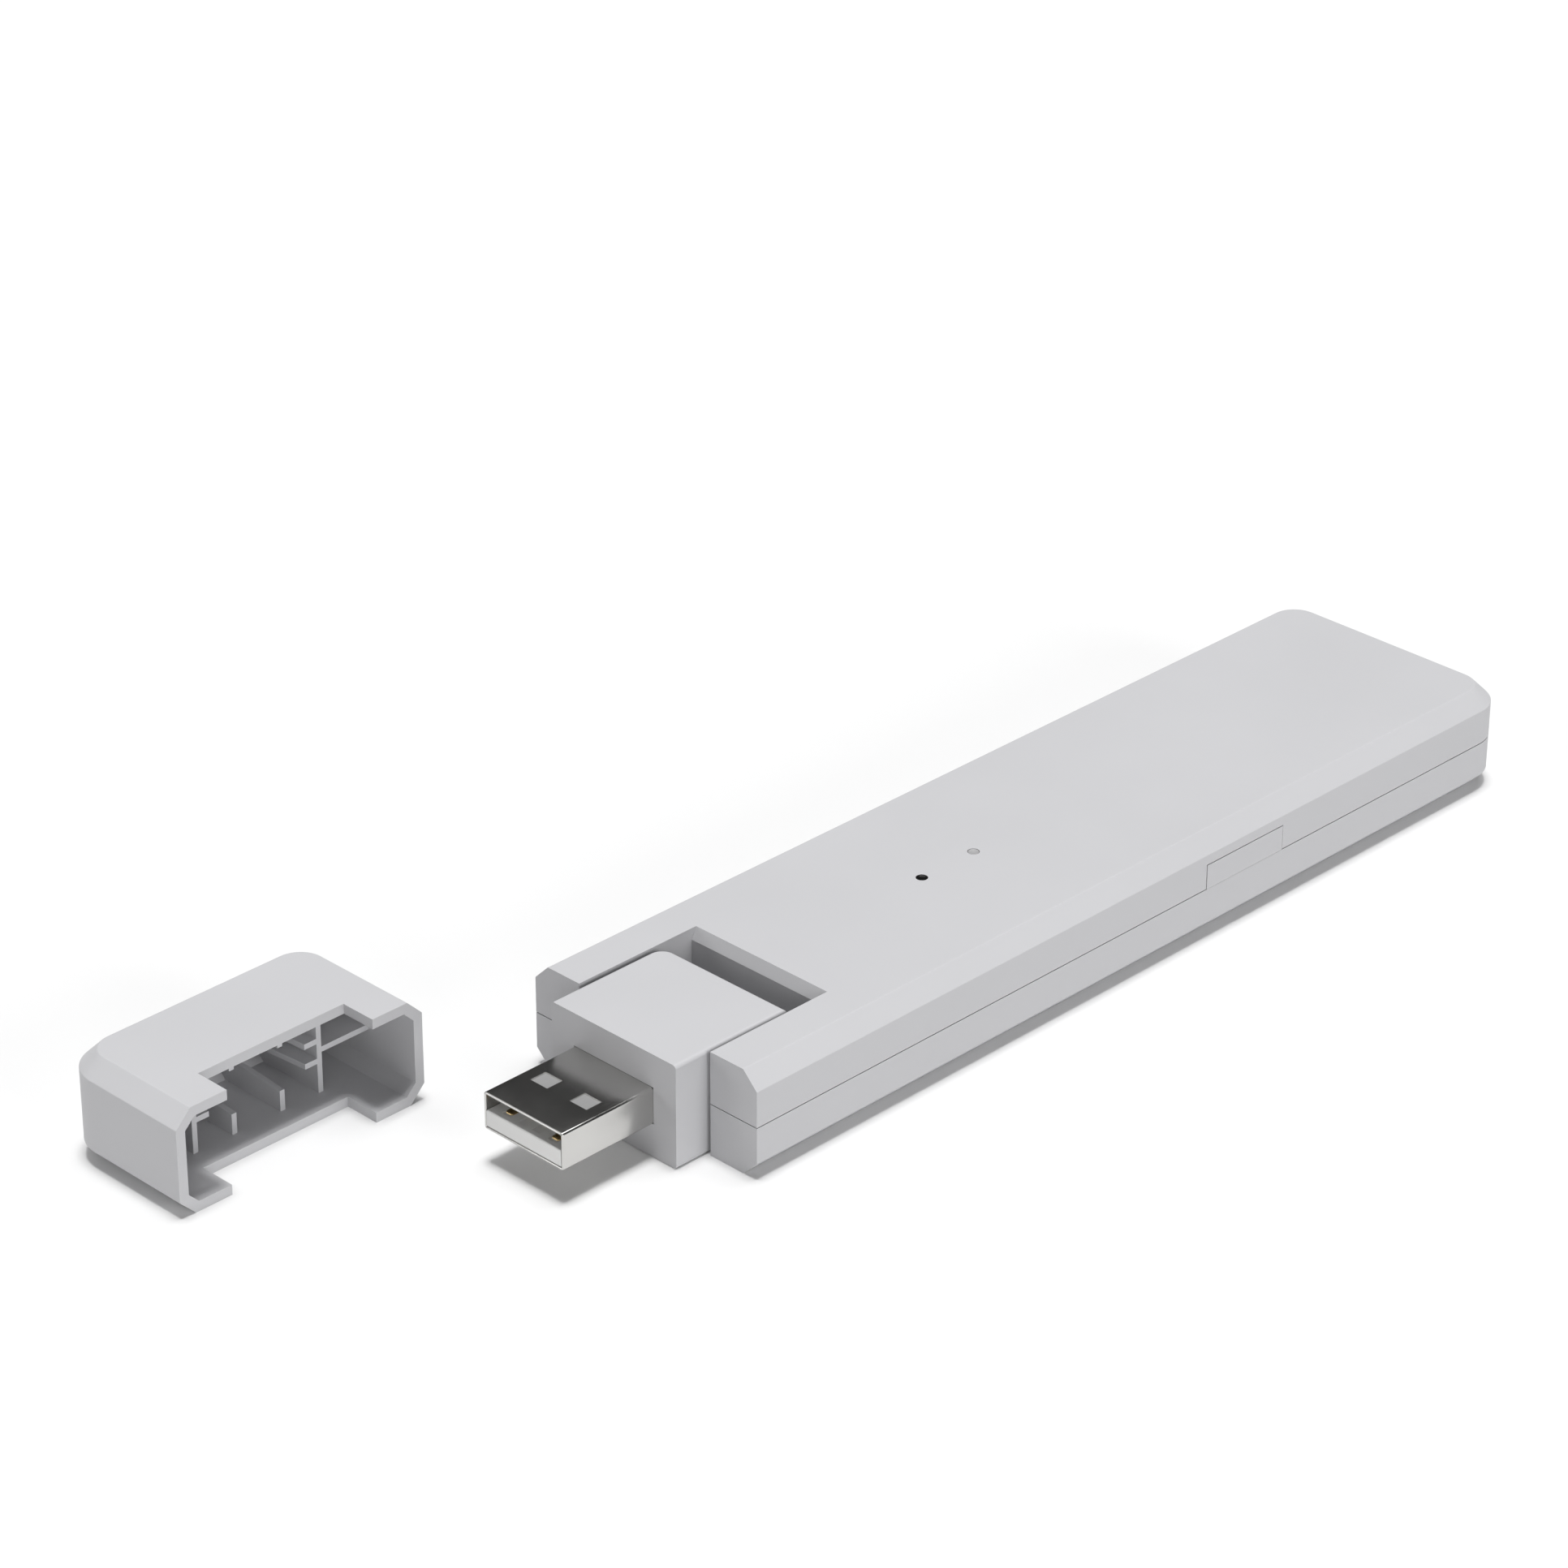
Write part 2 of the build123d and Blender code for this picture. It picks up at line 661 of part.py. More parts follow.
with BuildPart() as cap:
    add(bevelled_slab(cap_base, width, 0, cap_length, 0, height, corner_radius, edge_chamfer, edge_ease))
    add(bevelled_slab(cap_base, width - 2 * cap_wall, -cap_wall, cap_inner_end, cap_wall, height - cap_wall,
                      corner_radius - cap_wall, inner_chamfer(cap_wall)), mode=Mode.SUBTRACT)
    with BuildSketch(cap_base):
        Rectangle(notch_width, 2 * (block_overhang + cap_notch_gap))
    extrude(amount=height, mode=Mode.SUBTRACT)
    for hand in (-1, 1):
        # Wall beside the plug, a shelf from it to the cap's side, and two fins towards the plug
        near = hand * (side_rib_offset - rib_thickness / 2)
        far = hand * (side_rib_offset + rib_thickness / 2)
        add(cap_prism([(near, rib_setback), (far, rib_setback), (far, cap_inner_end), (near, cap_inner_end)],
                      cap_wall / 2, height - cap_wall / 2))
        out = hand * (cap_inner_side + cap_wall / 2)
        add(cap_prism([(far, rib_setback), (out, rib_setback), (out, cap_inner_end - corner_radius / 2),
                       (far, cap_inner_end)], mid - rib_thickness / 2, mid + rib_thickness / 2))
        grip = hand * (plug_width / 2 + grip_gap)
        lead_in = hand * (plug_width / 2 + grip_gap + fin_taper)
        for level in (-1, 1):
            fin = mid + level * fin_offset
            add(cap_prism([(near, rib_setback), (lead_in, rib_setback), (grip, rib_setback + rib_taper_run),
                           (grip, cap_inner_end), (near, cap_inner_end)],
                          fin - rib_thickness / 2, fin + rib_thickness / 2))
        # Ribs above and below the plug
        rib_plane = Plane(cap_base.from_local_coords((hand * support_rib_offset, 0, mid)),
                          x_dir=(-1, 0, 0), z_dir=(0, 1, 0))
        for level in (-1, 1):
            grip = level * (plug_height / 2 + grip_gap)
            lead_in = level * (plug_height / 2 + grip_gap + rib_taper)
            root = level * (mid - cap_wall / 2)
            with BuildSketch(rib_plane):
                with BuildLine():
                    Polyline((rib_setback, root), (rib_setback, lead_in),
                             (rib_setback + rib_taper_run, grip), (cap_inner_end, grip),
                             (cap_inner_end, root), close=True)
                make_face()
            extrude(amount=rib_thickness / 2, both=True)
save(cap.part, "cap")
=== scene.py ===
import math

import bpy
import numpy as np
from bpy.props import FloatProperty, FloatVectorProperty, IntProperty, PointerProperty
from mathutils import Matrix, Vector


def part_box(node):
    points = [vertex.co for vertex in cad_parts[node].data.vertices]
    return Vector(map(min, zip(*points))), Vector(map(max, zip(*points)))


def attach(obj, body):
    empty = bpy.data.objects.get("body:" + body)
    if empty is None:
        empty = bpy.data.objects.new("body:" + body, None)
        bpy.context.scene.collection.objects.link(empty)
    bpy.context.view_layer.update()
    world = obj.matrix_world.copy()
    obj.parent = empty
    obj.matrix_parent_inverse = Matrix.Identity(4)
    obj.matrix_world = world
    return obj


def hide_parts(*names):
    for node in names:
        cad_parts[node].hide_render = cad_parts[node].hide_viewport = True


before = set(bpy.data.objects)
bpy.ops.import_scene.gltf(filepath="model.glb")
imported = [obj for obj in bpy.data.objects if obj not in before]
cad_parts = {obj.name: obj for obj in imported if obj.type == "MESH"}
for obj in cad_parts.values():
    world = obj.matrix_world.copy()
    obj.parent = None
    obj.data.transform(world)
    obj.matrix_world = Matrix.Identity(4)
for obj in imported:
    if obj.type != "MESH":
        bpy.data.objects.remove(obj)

# A USB programmer stick round its packed frame: the looks of its cases, its pressed plug, its
# light pipes, its target header and the boards inside. Metres. +Y runs from the plug to the
# far end, +Z is up, and the origin is the centre of the housing's bottom.

bl_info = {
    "name": "Programmer Stick",
    "version": (1, 0, 0),
    "blender": (4, 5, 0),
    "location": "3D View > Sidebar > Stick",
    "description": "Makes the plug, light pipes, header and finishes of a USB programmer stick",
    "category": "Add Mesh",
}

MM = 0.001

plug_low, plug_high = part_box("plug_shell")
tongue_low, tongue_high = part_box("plug_insulator")
contact_low, contact_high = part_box("plug_contacts")
pins_low, pins_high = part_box("target_header_pins")


# What every finish shares
BEVEL_RAYS = 6        # rays that judge how an edge is rounded
RUB_AND_HIGHLIGHT_REACH = 4.0      # how far scuffing and the painted edge highlight reach from an edge, in its rounding radii
RUB_AND_HIGHLIGHT_PATCHES = 900.0  # patches a metre that break up the scuffing and the painted edge highlight
RUB_AND_HIGHLIGHT_TINT = 0.5       # how far a scuffed edge, also painted as a highlight, goes towards white
WEAR_POLISH = 0.12    # how much smoother rubbing leaves an edge
PIT_MATT = 0.04       # how much more matt the texture's hollows are
GLOSS_SWING = 0.03    # how far the gloss wanders either way
LINE_LENGTH = 40.0    # length of a drawn line, in its widths
WEAVE = 6000.0        # threads a metre of the cloth in a board


# ---------------------------------------------------------------- settings


def size(name, description, millimetres):
    """A length that shows in the panel, given in millimetres."""
    return FloatProperty(name=name, description=description, default=millimetres * MM,
                         min=0.0, unit="LENGTH", precision=5)


def colour(name, description, red, green, blue):
    """A linear colour that shows in the panel."""
    return FloatVectorProperty(name=name, description=description, default=(red, green, blue),
                               size=3, min=0.0, max=1.0, subtype="COLOR")


def share(name, description, default, highest=1.0):
    """A plain factor that shows in the panel."""
    return FloatProperty(name=name, description=description, default=default,
                         min=0.0, max=highest, subtype="FACTOR")


def strength(name, description, watts):
    """A light's strength that shows in the panel, in watts a square metre."""
    return FloatProperty(name=name, description=description, default=watts, min=0.0)


def angle(name, description, degrees):
    """An angle that shows in the panel, given in degrees."""
    return FloatProperty(name=name, description=description, default=math.radians(degrees),
                         subtype="ANGLE")


class StickCaseSettings(bpy.types.PropertyGroup):
    """Finish of the moulded cases: the two shells, the plug block, its cover and the cap."""

    plastic: colour("Plastic", "Colour of the moulded cases", 0.521, 0.521, 0.536)
    roughness: share("Roughness", "How matt the moulded faces are", 0.52)
    grain: size("Grain", "Size of the mould's fine texture", 0.22)
    grain_depth: size("Grain depth", "Depth of the mould's fine texture", 0.004)
    edge_round: size("Edge rounding", "Radius that the mould leaves on a crisp edge", 0.035)
    # Edges lightened towards white: partly scuffing, partly a painted highlight line along the crisp
    # edges.
    edge_wear_and_highlight: share("Edge wear", "How much the edges are rubbed lighter", 0.25)


class StickPlugSettings(bpy.types.PropertyGroup):
    """Sizes and finish of the USB-A plug."""

    sheet: size("Sheet", "Thickness of the pressed steel", 0.3)
    edge_radius: size("Edge radius", "Outer radius of the shell's long edges", 0.32)
    window_width: size("Window width", "Width of a retention window", 2.5)
    window_length: size("Window length", "Length of a retention window", 2.1)
    window_spacing: size("Window spacing", "Distance between the windows' middles", 5.95)
    window_setback: size("Window setback", "From the plug's tip to the windows' middle", 6.1)
    window_depth: size("Window depth", "Depth of the coined windows in the upper sheet", 0.15)
    draft: size("Draft", "Lean of the coined windows' walls", 0.03)
    seam_width: size("Seam width", "Width of the joint along the lower sheet", 0.07)
    seam_lean: share("Seam lean", "Width of the joint's slanted sides as a share of the joint", 0.8)
    seam_key: size("Seam key", "How far the joint's locking key reaches sideways", 0.6)
    key_setback: size("Key setback", "From the windows' far edge to the joint's locking key", 1.2)
    key_length: size("Key length", "Length of the joint's locking key along the plug", 2.6)
    key_lean: size("Key lean", "Length of the key's slanted sides", 0.5)
    tongue_height: size("Tongue height", "Height of the tongue above the inner lower sheet", 1.95)
    tongue_setback: size("Tongue setback", "From the plug's tip to the tongue's nose", 0.03)
    tongue_lead: size("Tongue lead-in", "Chamfer on the tongue's nose", 0.10)
    tongue_gap: size("Tongue gap", "Clearance between the tongue and the shell", 0.05)
    tongue_rib: size("Tongue rib", "Height of the ribs between the contact slots", 0.1)
    tongue_root: size("Tongue root", "From the plug's tip to the full block behind the tongue", 13.9)
    root_rise: size("Root rise", "From the tongue's top to the block's underside above it", 0.16)
    flange_inset: size("Flange inset", "From the block's widest side to the first line in from it", 0.3)
    seat: size("Seat", "Hair's breadth that keeps contacts from lying in the plastic's faces", 0.01)
    tongue_bar: size("Tongue bar", "Length of the tongue's nose in front of its slots", 0.8)
    contact_width: size("Contact width", "Width of a contact spring", 1.1)
    contact_pitch: size("Contact pitch", "Distance between the inner pair of contacts", 2.0)
    contact_outer: size("Outer contacts", "From the middle to an outer contact", 3.5)
    contact_step: size("Contact step", "How far the inner contacts start behind the outer ones", 1.0)
    contact_nose: size("Contact nose", "Length of the rounded nose of a contact", 0.35)
    nose_width: share("Nose width", "Width of a contact's end as a share of the contact", 0.55)
    nose_height: share("Nose height", "Thickness of a contact's end as a share of the contact", 0.25)
    steel: colour("Steel", "Colour of the plug's steel", 0.58, 0.575, 0.56)
    coined: colour("Coined steel", "Colour of the duller steel in the coined windows", 0.40, 0.40, 0.40)
    steel_roughness: share("Steel roughness", "How dull the rolled steel is", 0.2)
    tongue: colour("Tongue", "Colour of the tongue's plastic", 0.80, 0.80, 0.79)
    gold: colour("Gold", "Colour of the plated contacts and pins", 0.93, 0.70, 0.36)


class StickLightSettings(bpy.types.PropertyGroup):
    """The two light pipes in the upper shell."""

    stem: size("Stem", "Radius of a light pipe", 0.65)
    reach: size("Reach", "From a light pipe's face to its collar", 3.3)
    collar: size("Collar", "Height of a light pipe's collar", 0.6)
    foot: share("Foot", "Radius of a light pipe's foot as a share of its stem", 0.3)
    dish: size("Dish", "How far a light pipe's face is dished", 0.12)
    rim: size("Rim", "Radius of a light pipe's edge", 0.07)
    dark: colour("Dark pipe", "Colour of the smoked light pipe", 0.003, 0.003, 0.003)
    frosted: colour("Frosted pipe", "Colour of the frosted light pipe", 0.36, 0.36, 0.365)
    around: IntProperty(name="Around", description="Points round a light pipe", default=64, min=12)


class StickHeaderSettings(bpy.types.PropertyGroup):
    """The target header in the far end."""

    pin: size("Pin", "Side of a square pin", 0.64)
    pitch: size("Pitch", "Distance between neighbouring pins", 2.54)
    columns: IntProperty(name="Columns", description="Pins in one row", default=5, min=1)
    point: size("Point", "Length of a pin's tapered point", 0.5)
    point_share: share("Point share", "Width of the point's end as a share of the pin", 0.45)
    tail_share: share("Tail share", "Width of a pin's tail as a share of the pin", 0.7)
    plastic: colour("Header plastic", "Colour of the shroud", 0.018, 0.018, 0.019)


class StickBoardSettings(bpy.types.PropertyGroup):
    """Finish of the boards and the parts on them."""

    mask: colour("Solder mask", "Colour of the boards", 0.012, 0.125, 0.05)
    track: size("Track pitch", "Distance between neighbouring copper tracks", 0.9)
    package: colour("Package", "Colour of the moulded chip bodies", 0.022, 0.022, 0.024)
    tin: colour("Tin", "Colour of the tinned leads and chip ends", 0.72, 0.71, 0.69)
    can: colour("Can", "Colour of the crystal's can", 0.70, 0.70, 0.70)
    screw: colour("Screw", "Colour of the board screws", 0.60, 0.62, 0.64)
    connector: colour("Connector", "Colour of the lead's connector", 0.74, 0.72, 0.66)
    washer: colour("Washer", "Colour of the friction washers", 0.66, 0.65, 0.60)
    jacket: colour("Jacket", "Colour of the lead's jacket", 0.035, 0.035, 0.038)


class StickStageSettings(bpy.types.PropertyGroup):
    """Camera, floor and soft studio lights."""

    azimuth: angle("Azimuth", "Camera's turn round the stick, from in front of the plug", 44.599)
    elevation: angle("Elevation", "Camera's height above the floor as an angle", 28.153)
    roll: angle("Roll", "Camera's turn about its own axis", 0.166)
    aim: FloatVectorProperty(name="Aim", description="Point in the middle of the view", size=3,
                             default=(-1.41 * MM, -40.73 * MM, 31.49 * MM), unit="LENGTH")
    distance: size("Distance", "From the camera to the aim", 543.47)
    lens: FloatProperty(name="Lens", description="Focal length in millimetres", default=117.66, min=1.0)
    floor: colour("Floor", "Colour of the floor", 0.82, 0.82, 0.82)
    floor_size: size("Floor size", "Side of the square floor", 8000.0)
    overhead: strength("Overhead", "Strength of the soft light straight above", 2.40)
    rear: strength("Rear", "Strength of the high soft light behind the far end", 0.67)
    far_side: strength("Far side", "Strength of the high soft light on the left", 0.38)
    side: strength("Side", "Strength of the low soft light on the right", 1.08)
    near: strength("Near", "Strength of the low soft light by the camera", 0.38)
    left: strength("Left", "Strength of the low soft light in front on the left", 0.49)
    ambient: share("Ambient", "Strength of the light from all round", 0.04)
    backdrop: share("Backdrop", "How pale the backdrop looks past the floor", 1.0)


# Where each soft light stands: how wide it looks, its turn round the stick and its height, in degrees
LIGHTS = {
    "overhead": (14.0, 0.0, 90.0),
    "rear": (28.0, 180.0, 72.0),
    "far_side": (40.0, 270.0, 60.0),
    "side": (26.0, 90.0, 16.0),
    "near": (26.0, 45.0, 16.0),
    "left": (26.0, -45.0, 16.0),
}


# ---------------------------------------------------------------- surfaces


def grid_faces(rows, columns, wrap_rows=False, wrap_columns=False):
    """Corner numbers of the faces between the points of a grid of rows by columns.

    Face (r, c) joins points (r, c), (r, c+1), (r+1, c+1) and (r+1, c), and a wrapped side
    joins its last line to its first.
    """
    row = np.arange(rows if wrap_rows else rows - 1)
    column = np.arange(columns if wrap_columns else columns - 1)
    row, column = np.meshgrid(row, column, indexing="ij")
    below = row * columns
    above = (row + 1) % rows * columns
    beside = (column + 1) % columns
    corners = [below + column, below + beside, above + beside, above + column]
    return np.stack(corners, -1).reshape(-1, 4)


def joined(parts):
    """Several closed surfaces as one: points in one array, faces numbered on from the last."""
    points, faces, start = [], [], 0
    for part_points, part_faces in parts:
        points.append(part_points)
        faces += [block + start for block in part_faces]
        start += len(part_points)
    return np.concatenate(points), faces


def volume(points, block):
    """Signed volume of a fan of triangles from each face's first corner to the origin."""
    first = points[block[:, 0]]
    total = 0.0
    for i in range(1, block.shape[1] - 1):
        turn = np.cross(points[block[:, i]], points[block[:, i + 1]])
        total += np.einsum("ij,ij->", first, turn) / 6
    return total


def outward(surface):
    """A closed surface with its faces pointing out: turned round if its signed volume is negative."""
    points, faces = surface
    centred = points - points.mean(axis=0)
    if sum(volume(centred, block) for block in faces) < 0:
        faces = [block[:, ::-1] for block in faces]
    return points, faces


def carried(section, places, widths, heights):
    """A closed outline carried along Y, with flat ends.

    Point (v, u) is (x + section x of u times width v, place v, z + section z of u times
    height v), where the outline is given about its own middle.
    """
    x = section[None, :, 0] * widths[:, None]
    z = section[None, :, 1] * heights[:, None]
    y = np.broadcast_to(places[:, None], x.shape)
    points = np.stack([x, y, z], -1).reshape(-1, 3)
    rows, columns = x.shape
    last = (rows - 1) * columns
    ends = np.stack([np.arange(columns)[::-1], np.arange(columns) + last])
    return outward((points, [grid_faces(rows, columns, wrap_columns=True), ends]))


def eased_rectangle(width, height, radius, steps):
    """Outline of a rectangle whose corners are quarter circles of that radius."""
    turn = np.linspace(0, math.pi / 2, steps + 1)
    arc = np.stack([np.cos(turn), np.sin(turn)], -1) * radius
    middle = np.array([width / 2 - radius, height / 2 - radius])
    corner = middle + arc
    second = corner[::-1] * (-1, 1)
    return np.concatenate([corner, second, -corner, -second])


def relief_block(columns, rows, low, high):
    """A closed block whose bottom and top are height grids.

    The top point (r, c) is (columns c, rows r, high rc), the bottom one has low rc, and a
    strip of faces round the rim joins the two.
    """
    x, y = np.meshgrid(columns, rows)
    top = np.stack([x, y, np.broadcast_to(high, x.shape)], -1).reshape(-1, 3)
    bottom = np.stack([x, y, np.broadcast_to(low, x.shape)], -1).reshape(-1, 3)
    count = len(top)
    face = grid_faces(*x.shape)
    number = np.arange(count).reshape(x.shape)
    rim = np.concatenate([number[0, :-1], number[:-1, -1], number[-1, :0:-1], number[:0:-1, 0]])
    ahead = np.roll(rim, -1)
    wall = np.stack([rim, rim + count, ahead + count, ahead], -1)
    return outward((np.concatenate([top, bottom]), [face, face[:, ::-1] + count, wall]))


def turned(radii, heights, centre, around):
    """A profile turned about an upright axis, closed by a single point at each end.

    Point (v, u) is the centre plus radius v times (cos u, sin u), at height v.
    """
    turn = np.linspace(0, 2 * math.pi, around, endpoint=False)
    x = centre[0] + radii[:, None] * np.cos(turn)
    y = centre[1] + radii[:, None] * np.sin(turn)
    z = np.broadcast_to(heights[:, None], x.shape)
    ring = np.stack([x, y, z], -1).reshape(-1, 3)
    poles = np.array([[*centre, heights[0]], [*centre, heights[-1]]])
    count = len(ring)
    foot = np.arange(around)
    head = foot + count - around
    fans = [np.stack([np.full(around, count), np.roll(foot, -1), foot], -1),
            np.stack([np.full(around, count + 1), head, np.roll(head, -1)], -1)]
    faces = grid_faces(len(radii), around, wrap_columns=True)
    return outward((np.concatenate([ring, poles]), [faces, *fans]))


def put_piece(name, surface, body, nodes, materials, material_numbers=None, crease=30.0):
    """Makes a surface a piece that rides on a body and stands for its CAD nodes."""
    points, faces = surface
    mesh = bpy.data.meshes.new(name)
    mesh.from_pydata(points.tolist(), [], [row for block in faces for row in block.tolist()])
    mesh.validate()
    for material in materials:
        mesh.materials.append(material)
    if material_numbers is not None:
        mesh.polygons.foreach_set("material_index", material_numbers.astype(np.int32))
    mesh.shade_smooth()
    mesh.set_sharp_from_angle(angle=math.radians(crease))
    mesh.update()
    piece = bpy.data.objects.new(name, mesh)
    bpy.context.scene.collection.objects.link(piece)
    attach(piece, body)
    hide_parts(*nodes)
    return piece


# ---------------------------------------------------------------- materials


class Tree:
    """Adds nodes to a material's or a group's tree, and links or sets their inputs by name."""

    def __init__(self, tree):
        self.tree = tree

    def add(self, kind, inputs=None, **settings):
        node = self.tree.nodes.new("ShaderNode" + kind)
        for key, value in settings.items():
            setattr(node, key, value)
        for key, value in (inputs or {}).items():
            if isinstance(value, bpy.types.NodeSocket):
                self.tree.links.new(value, node.inputs[key])
            else:
                node.inputs[key].default_value = value
        return node

    def maths(self, operation, first, second=0.0, clamp=False):
        """One value worked out from two."""
        return self.add("Math", {0: first, 1: second}, operation=operation, use_clamp=clamp).outputs[0]

    def ramp(self, value, low, high, start=0.0, end=1.0):
        """A value brought from low..high to start..end, and held there."""
        return self.add("MapRange", {"Value": value, "From Min": low, "From Max": high,
                                     "To Min": start, "To Max": end}).outputs["Result"]

    def mixed(self, mask, first, second):
        """One colour turning into another as the mask goes from 0 to 1."""
        node = self.add("Mix", data_type="RGBA")
        for number, value in ((0, mask), (6, first), (7, second)):
            if isinstance(value, bpy.types.NodeSocket):
                self.tree.links.new(value, node.inputs[number])
            else:
                node.inputs[number].default_value = value
        return node.outputs[2]

    def place(self):
        """The point in the stick's own frame."""
        return self.add("TexCoord").outputs["Object"]

    def levelled(self, vector):
        """A point brought down to height 0."""
        return self.add("VectorMath", {0: vector, 1: (1.0, 1.0, 0.0)}, operation="MULTIPLY").outputs[0]

    def noise(self, scale, detail=2.0):
        """Soft noise of that many features a metre."""
        inputs = {"Vector": self.place(), "Scale": scale, "Detail": detail}
        return self.add("TexNoise", inputs).outputs[0]

    def effect(self, group, **values):
        """A shared effect placed with its own values; underscores stand for spaces."""
        node = self.tree.nodes.new("ShaderNodeGroup")
        node.node_tree = group()
        for key, value in values.items():
            socket = node.inputs[key.replace("_", " ").capitalize()]
            if isinstance(value, bpy.types.NodeSocket):
                self.tree.links.new(value, socket)
            else:
                socket.default_value = value
        return node.outputs


def group_tree(name, inputs, outputs):
    """An empty node group with named inputs and outputs: its tree, and its two end nodes."""
    group = bpy.data.node_groups.new(name, "ShaderNodeTree")
    for key, (kind, default) in inputs.items():
        socket = group.interface.new_socket(key, in_out="INPUT", socket_type="NodeSocket" + kind)
        socket.default_value = default
    for key, kind in outputs.items():
        group.interface.new_socket(key, in_out="OUTPUT", socket_type="NodeSocket" + kind)
    tree = Tree(group)
    return tree, group.nodes.new("NodeGroupInput").outputs, group.nodes.new("NodeGroupOutput").inputs


def built_once(build):
    """Keeps a node group that has been made, so that every material places the same one."""
    def fetch():
        name = build.__doc__.split(":")[0]
        return bpy.data.node_groups.get(name) or build(name)
    return fetch


@built_once
def rub_and_highlight_mask(name):
    """Rubbed edges: 1 on crisp edges and 0 on flat faces, broken up by noise."""
    tree, given, out = group_tree(name, {"Radius": ("Float", 0.0003), "Amount": ("Float", 1.0),
                                         "Breakup": ("Float", 900.0)}, {"Mask": "Float"})
    rounded = tree.add("Bevel", {"Radius": given["Radius"]}, samples=BEVEL_RAYS).outputs[0]
    flat = tree.add("NewGeometry").outputs["Normal"]
    agree = tree.add("VectorMath", {0: rounded, 1: flat}, operation="DOT_PRODUCT").outputs["Value"]
    edge = tree.ramp(agree, 0.995, 0.90)
    patchy = tree.ramp(tree.noise(given["Breakup"], 3.0), 0.35, 0.65, 0.35, 1.0)
    # Mask for lightened edges: partly scuffing, partly a painted highlight line.
    worn_and_highlit = tree.maths("MULTIPLY", tree.maths("MULTIPLY", edge, patchy), given["Amount"], clamp=True)
    tree.tree.links.new(worn_and_highlit, out["Mask"])
    return tree.tree


@built_once
def fine_grain(name):
    """Moulded grain: the height of a spark-eroded mould's texture, cells on soft noise."""
    tree, given, out = group_tree(name, {"Size": ("Float", 0.0002)},
                                  {"Height": "Float", "Mask": "Float"})
    scale = tree.maths("DIVIDE", 1.0, given["Size"])
    cells = tree.add("TexVoronoi", {"Vector": tree.place(), "Scale": scale, "Smoothness": 0.6},
                     feature="SMOOTH_F1").outputs["Distance"]
    soft = tree.noise(tree.maths("MULTIPLY", scale, 0.5), 3.0)
    height = tree.maths("ADD", tree.maths("MULTIPLY", cells, 0.6), tree.maths("MULTIPLY", soft, 0.4))
    tree.tree.links.new(height, out["Height"])
    tree.tree.links.new(tree.ramp(height, 0.3, 0.6), out["Mask"])
    return tree.tree


@built_once
def tone_drift(name):
    """Tone drift: a colour that wanders a little lighter and darker over wide patches."""
    tree, given, out = group_tree(name, {"Colour": ("Color", (0.5, 0.5, 0.5, 1.0)),
                                         "Amount": ("Float", 0.02), "Size": ("Float", 0.02)},
                                  {"Colour": "Color", "Value": "Float"})
    wide = tree.ramp(tree.noise(tree.maths("DIVIDE", 1.0, given["Size"]), 4.0), 0.3, 0.7)
    swing = tree.maths("MULTIPLY", tree.maths("SUBTRACT", wide, 0.5), given["Amount"])
    brightness = tree.maths("ADD", swing, 1.0)
    shade = tree.add("HueSaturation", {"Value": brightness, "Color": given["Colour"]})
    tree.tree.links.new(shade.outputs[0], out["Colour"])
    tree.tree.links.new(wide, out["Value"])
    return tree.tree


@built_once
def drawn_lines(name):
    """Drawn lines: fine streaks along the stick, as rolling and wiping leave on metal."""
    tree, given, out = group_tree(name, {"Size": ("Float", 0.00006), "Length": ("Float", 40.0)},
                                  {"Height": "Float", "Value": "Float"})
    scale = tree.maths("DIVIDE", 1.0, given["Size"])
    along = tree.maths("DIVIDE", 1.0, given["Length"])
    stretch = tree.add("CombineXYZ", {"X": 1.0, "Y": along, "Z": 1.0})
    vector = tree.add("VectorMath", {0: tree.place(), 1: stretch.outputs[0]},
                      operation="MULTIPLY").outputs[0]
    fine = tree.add("TexNoise", {"Vector": vector, "Scale": scale, "Detail": 4.0}).outputs[0]
    tree.tree.links.new(fine, out["Height"])
    tree.tree.links.new(tree.ramp(fine, 0.35, 0.65), out["Value"])
    return tree.tree


@built_once
def end_bands(name):
    """End bands: 1 on the two metal ends of chips that stand in one or two columns."""
    tree, given, out = group_tree(name, {"Middle": ("Float", 0.0), "Column": ("Float", 0.0),
                                         "Reach": ("Float", 0.0007)}, {"Mask": "Float"})
    x = tree.add("SeparateXYZ", {0: tree.place()}).outputs["X"]
    from_middle = tree.maths("ABSOLUTE", tree.maths("SUBTRACT", x, given["Middle"]))
    from_column = tree.maths("ABSOLUTE", tree.maths("SUBTRACT", from_middle, given["Column"]))
    tree.tree.links.new(tree.maths("GREATER_THAN", from_column, given["Reach"]), out["Mask"])
    return tree.tree


@built_once
def round_mark(name):
    """Round mark: 1 inside a circle about an upright axis."""
    tree, given, out = group_tree(name, {"Place": ("Vector", (0.0, 0.0, 0.0)),
                                         "Radius": ("Float", 0.0003)}, {"Mask": "Float"})
    flat = tree.levelled(tree.place())
    away = tree.add("VectorMath", {0: flat, 1: given["Place"]}, operation="DISTANCE").outputs["Value"]
    ratio = tree.maths("DIVIDE", away, given["Radius"])
    tree.tree.links.new(tree.ramp(ratio, 1.05, 0.95), out["Mask"])
    return tree.tree


